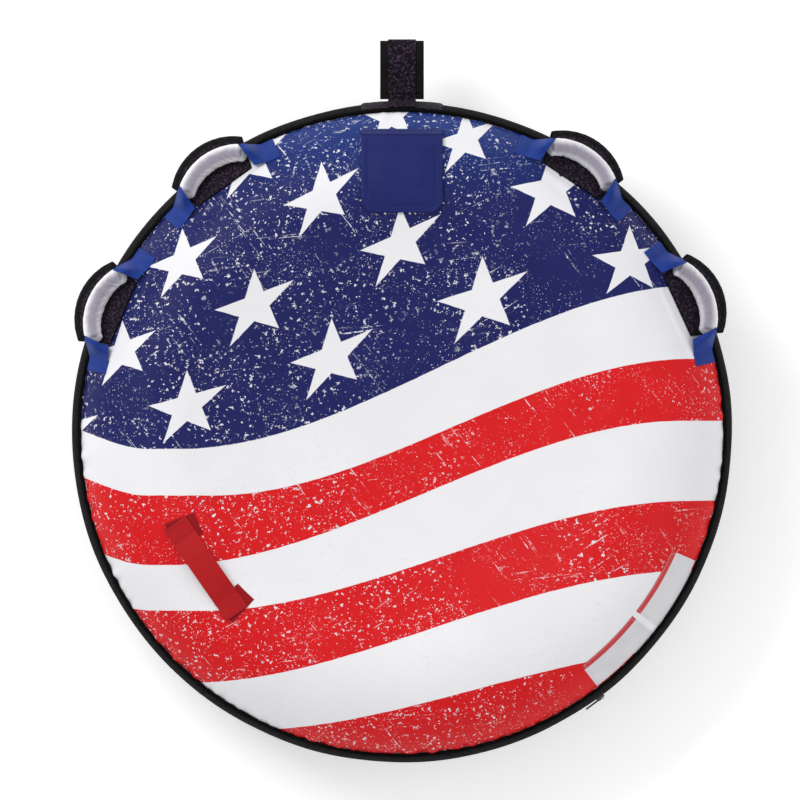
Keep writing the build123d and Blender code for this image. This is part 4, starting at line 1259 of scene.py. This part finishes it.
def main():
    """Every visual piece, and the finishes of the CAD nodes that are shown as they are."""
    deck = print_material()
    black = cloth("black_nylon", (14, 12, 14), pitch=1.2, depth=0.14, vary=0.22, rough=0.64,
                  dirt=(44, 42, 47), sheen=0.0, specular=0.012)
    under_black = cloth("floor_nylon", (18, 16, 20), pitch=1.4, depth=0.2, vary=0.2, rough=0.66,
                        dirt=(56, 54, 57), sheen=0.0, specular=0.08)
    textured = dict(depth=0.34, scale=60.0, dirt_from=0.50, dirt_much=0.9)
    padding = dict(textured, pitch=2.1, vary=0.45, rough=0.74, sheen=0.02, specular=0.06, dirt=(72, 58, 78),
                   dirt_scale=210.0)
    pad = cloth("pad_cloth", (18, 11, 21), **padding)
    guard_cloth = cloth("guard_cloth", (18, 11, 21), edge=(9, 8, 10), **padding)
    binding = cloth("binding_tape", (10, 9, 10), pitch=1.0, depth=0.12, vary=0.25, rough=0.7, sheen=0.0,
                    specular=0.012)
    lining = cloth("tow_lining_cloth", (7, 6, 7), pitch=1.5, depth=0.2, vary=0.3, rough=0.7)
    flap_blue = cloth("flap_nylon", (25, 33, 95), pitch=1.1, depth=0.12, vary=0.16, rough=0.5, scale=22.0)
    hook = cloth("hook_tape", (14, 14, 16), pitch=0.9, depth=0.5, vary=0.3, rough=0.7)
    pile = cloth("loop_tape", (20, 20, 23), pitch=0.6, depth=0.6, vary=0.4, rough=0.9, sheen=0.5)
    tape = cloth("zip_tape_cloth_mat", (13, 13, 15), pitch=0.8, depth=0.15, vary=0.2, rough=0.7)
    # The grip's inner colour is painted shade on its side towards the tube's middle.
    foam = cloth("grip_stretch_cloth", (236, 235, 238), pitch=0.8, depth=0.10, vary=0.035, rough=0.5,
                 sheen=0.25, scale=30.0, dirt=(205, 198, 214), inner=(138, 132, 148))
    web_black = cloth("tow_webbing_weave", (16, 10, 19), pitch=1.8, vary=0.4, rough=0.7, sheen=0.0,
                      specular=0.05, dirt=(74, 60, 80), dirt_scale=230.0, **textured)
    web_blue = band_cloth("handle_webbing_weave", (22, 52, 132), vary=0.14)
    web_red = band_cloth("strap_webbing_weave", (166, 17, 22), vary=0.12, rib=3.0)
    dark_thread = moulded("thread_dark", (24, 22, 28), rough=0.6, grain=600.0)
    blue_thread = moulded("thread_blue", (22, 44, 112), rough=0.6, grain=600.0)
    pale_thread = moulded("thread_pale", (206, 204, 210), rough=0.6, grain=600.0)
    red_thread = moulded("thread_red", (150, 24, 28), rough=0.6, grain=600.0)
    tooth = moulded("zip_tooth_nylon", (28, 28, 31), rough=0.35)

    holes = [(valve_axes()[0], VALVE_HOLE_R)]
    top = cover_panel("deck_cover", DECK_LEAVES, 1, deck, 170, 1000, 11, holes)
    turn = math.radians(FLOOR_LEAVES)
    span = RING / -math.cos(turn) - TUBE
    tilt = math.asin(DRAIN_AT / span)
    apex = MID_Z - RING / -math.cos(turn) * math.sin(turn)
    height = apex + span * math.cos(tilt)
    drains = [(np.array([DRAIN_AT * math.cos(b), DRAIN_AT * math.sin(b), height]), DRAIN_R)
              for b in np.radians([45, 135, 225, 315])]
    floor = cover_panel("floor_cover", FLOOR_LEAVES, -1, under_black, 150, 900, 21, drains)
    band = side_band(black)
    for piece, node, slot in ((top, "cover_top", "cover_print"), (floor, "cover_bottom", "cover_black"),
                              (band, "cover_side", "cover_black")):
        settle(piece, "tube", node)
    for end, side in (("top", 1), ("bottom", -1)):
        welt = piping(f"seam_welt_{end}", side, binding, 41 + side)
        settle(welt, "tube", f"seam_piping_{end}")
    for k, (side, az) in enumerate(HANDLES.items()):
        grip(side, az, 100 + k * 7, foam, pale_thread)
        handle_webbing(side, az, web_blue, blue_thread)
        guard(side, az, 60 + k, guard_cloth, binding, dark_thread)
    tow_pieces(web_black, lining, pad, dark_thread)
    valve_cover(flap_blue, binding, hook, pile, blue_thread)
    zip_pieces(tape, tooth, dark_thread, black)
    sewn_red = cloth("strap_patch_cloth", (140, 12, 20), pitch=1.1, depth=0.12, vary=0.14)
    boarding(web_red, sewn_red, red_thread)
    labels(label_material(), pale_thread)

    finishes = {
        "bladder": moulded("bladder_vinyl", (205, 208, 212), rough=0.3),
        "drain_eyelets": moulded("eyelet_brass_metal", (196, 164, 96), rough=0.3, metal=1.0),
        "valve_base": moulded("valve_base_vinyl", (150, 152, 158), rough=0.4),
        "valve_insert": moulded("valve_insert_plastic", (34, 34, 38), rough=0.4),
        "check_flapper": moulded("flapper_rubber_mat", (52, 52, 55), rough=0.6),
        "valve_cap": moulded("valve_cap_plastic", (30, 30, 34), rough=0.36),
        "keeper_ring": moulded("keeper_plastic", (26, 26, 29), rough=0.5),
        "cap_link": moulded("cap_link_plastic", (26, 26, 29), rough=0.5),
        "zip_stops": moulded("zip_stop_metal", (92, 92, 98), rough=0.34, metal=0.9),
        "zip_slider": moulded("zip_slider_metal", (70, 70, 76), rough=0.36, metal=0.85),
        "zip_pull": moulded("zip_pull_metal", (70, 70, 76), rough=0.36, metal=0.85),
    }
    for node, material in finishes.items():
        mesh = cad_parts[node].data
        mesh.materials.clear()
        mesh.materials.append(material)


def stage():
    """A pale floor, soft studio light, and the camera straight above with the nose at the top."""
    m, g, shader = new_material("studio_floor")
    at = g.place()
    g.put(shader, "Base Color", g.mix(g.noise(at, 3.0, 3.0), shade((246, 246, 247)), shade((250, 250, 251))))
    g.put(shader, "Roughness", g.step(g.noise(at, 60.0), 0.3, 0.7, 0.75, 0.9))
    shader.inputs["Emission Color"].default_value = (1.0, 1.0, 1.0, 1.0)
    shader.inputs["Emission Strength"].default_value = 0.32
    size = 30.0
    corners = [(-size, -size, -0.0006), (size, -size, -0.0006), (size, size, -0.0006), (-size, size, -0.0006)]
    floor = made("studio_floor", corners, [[0, 1, 2, 3]], m)
    scene = bpy.context.scene
    scene.view_settings.view_transform = "Standard"
    world = bpy.data.worlds.new("studio_world")
    world.use_nodes = True
    world.node_tree.nodes["Background"].inputs[0].default_value = (1.0, 1.0, 1.0, 1.0)
    world.node_tree.nodes["Background"].inputs[1].default_value = 0.60
    scene.world = world
    lamps = (("key", (-2.6, 2.4, 3.8), 125.0, 2.4), ("fill", (3.0, -1.0, 3.6), 45.0, 3.6))
    for name, place, power, size in lamps:
        light = bpy.data.lights.new(name, "AREA")
        light.energy, light.size = power, size
        lamp = bpy.data.objects.new(name, light)
        scene.collection.objects.link(lamp)
        lamp.location = place
        lamp.rotation_euler = (Vector((0, 0, 0.2)) - Vector(place)).to_track_quat("-Z", "Y").to_euler()
    camera = bpy.data.cameras.new("camera")
    camera.lens, camera.sensor_width = LENS, SENSOR
    camera.clip_end = 60.0
    shown_width = 1.4545
    holder = bpy.data.objects.new("camera", camera)
    scene.collection.objects.link(holder)
    holder.location = (-0.0036, 0.0591, MID_Z + shown_width * LENS / SENSOR)
    scene.camera = holder


main()
stage()
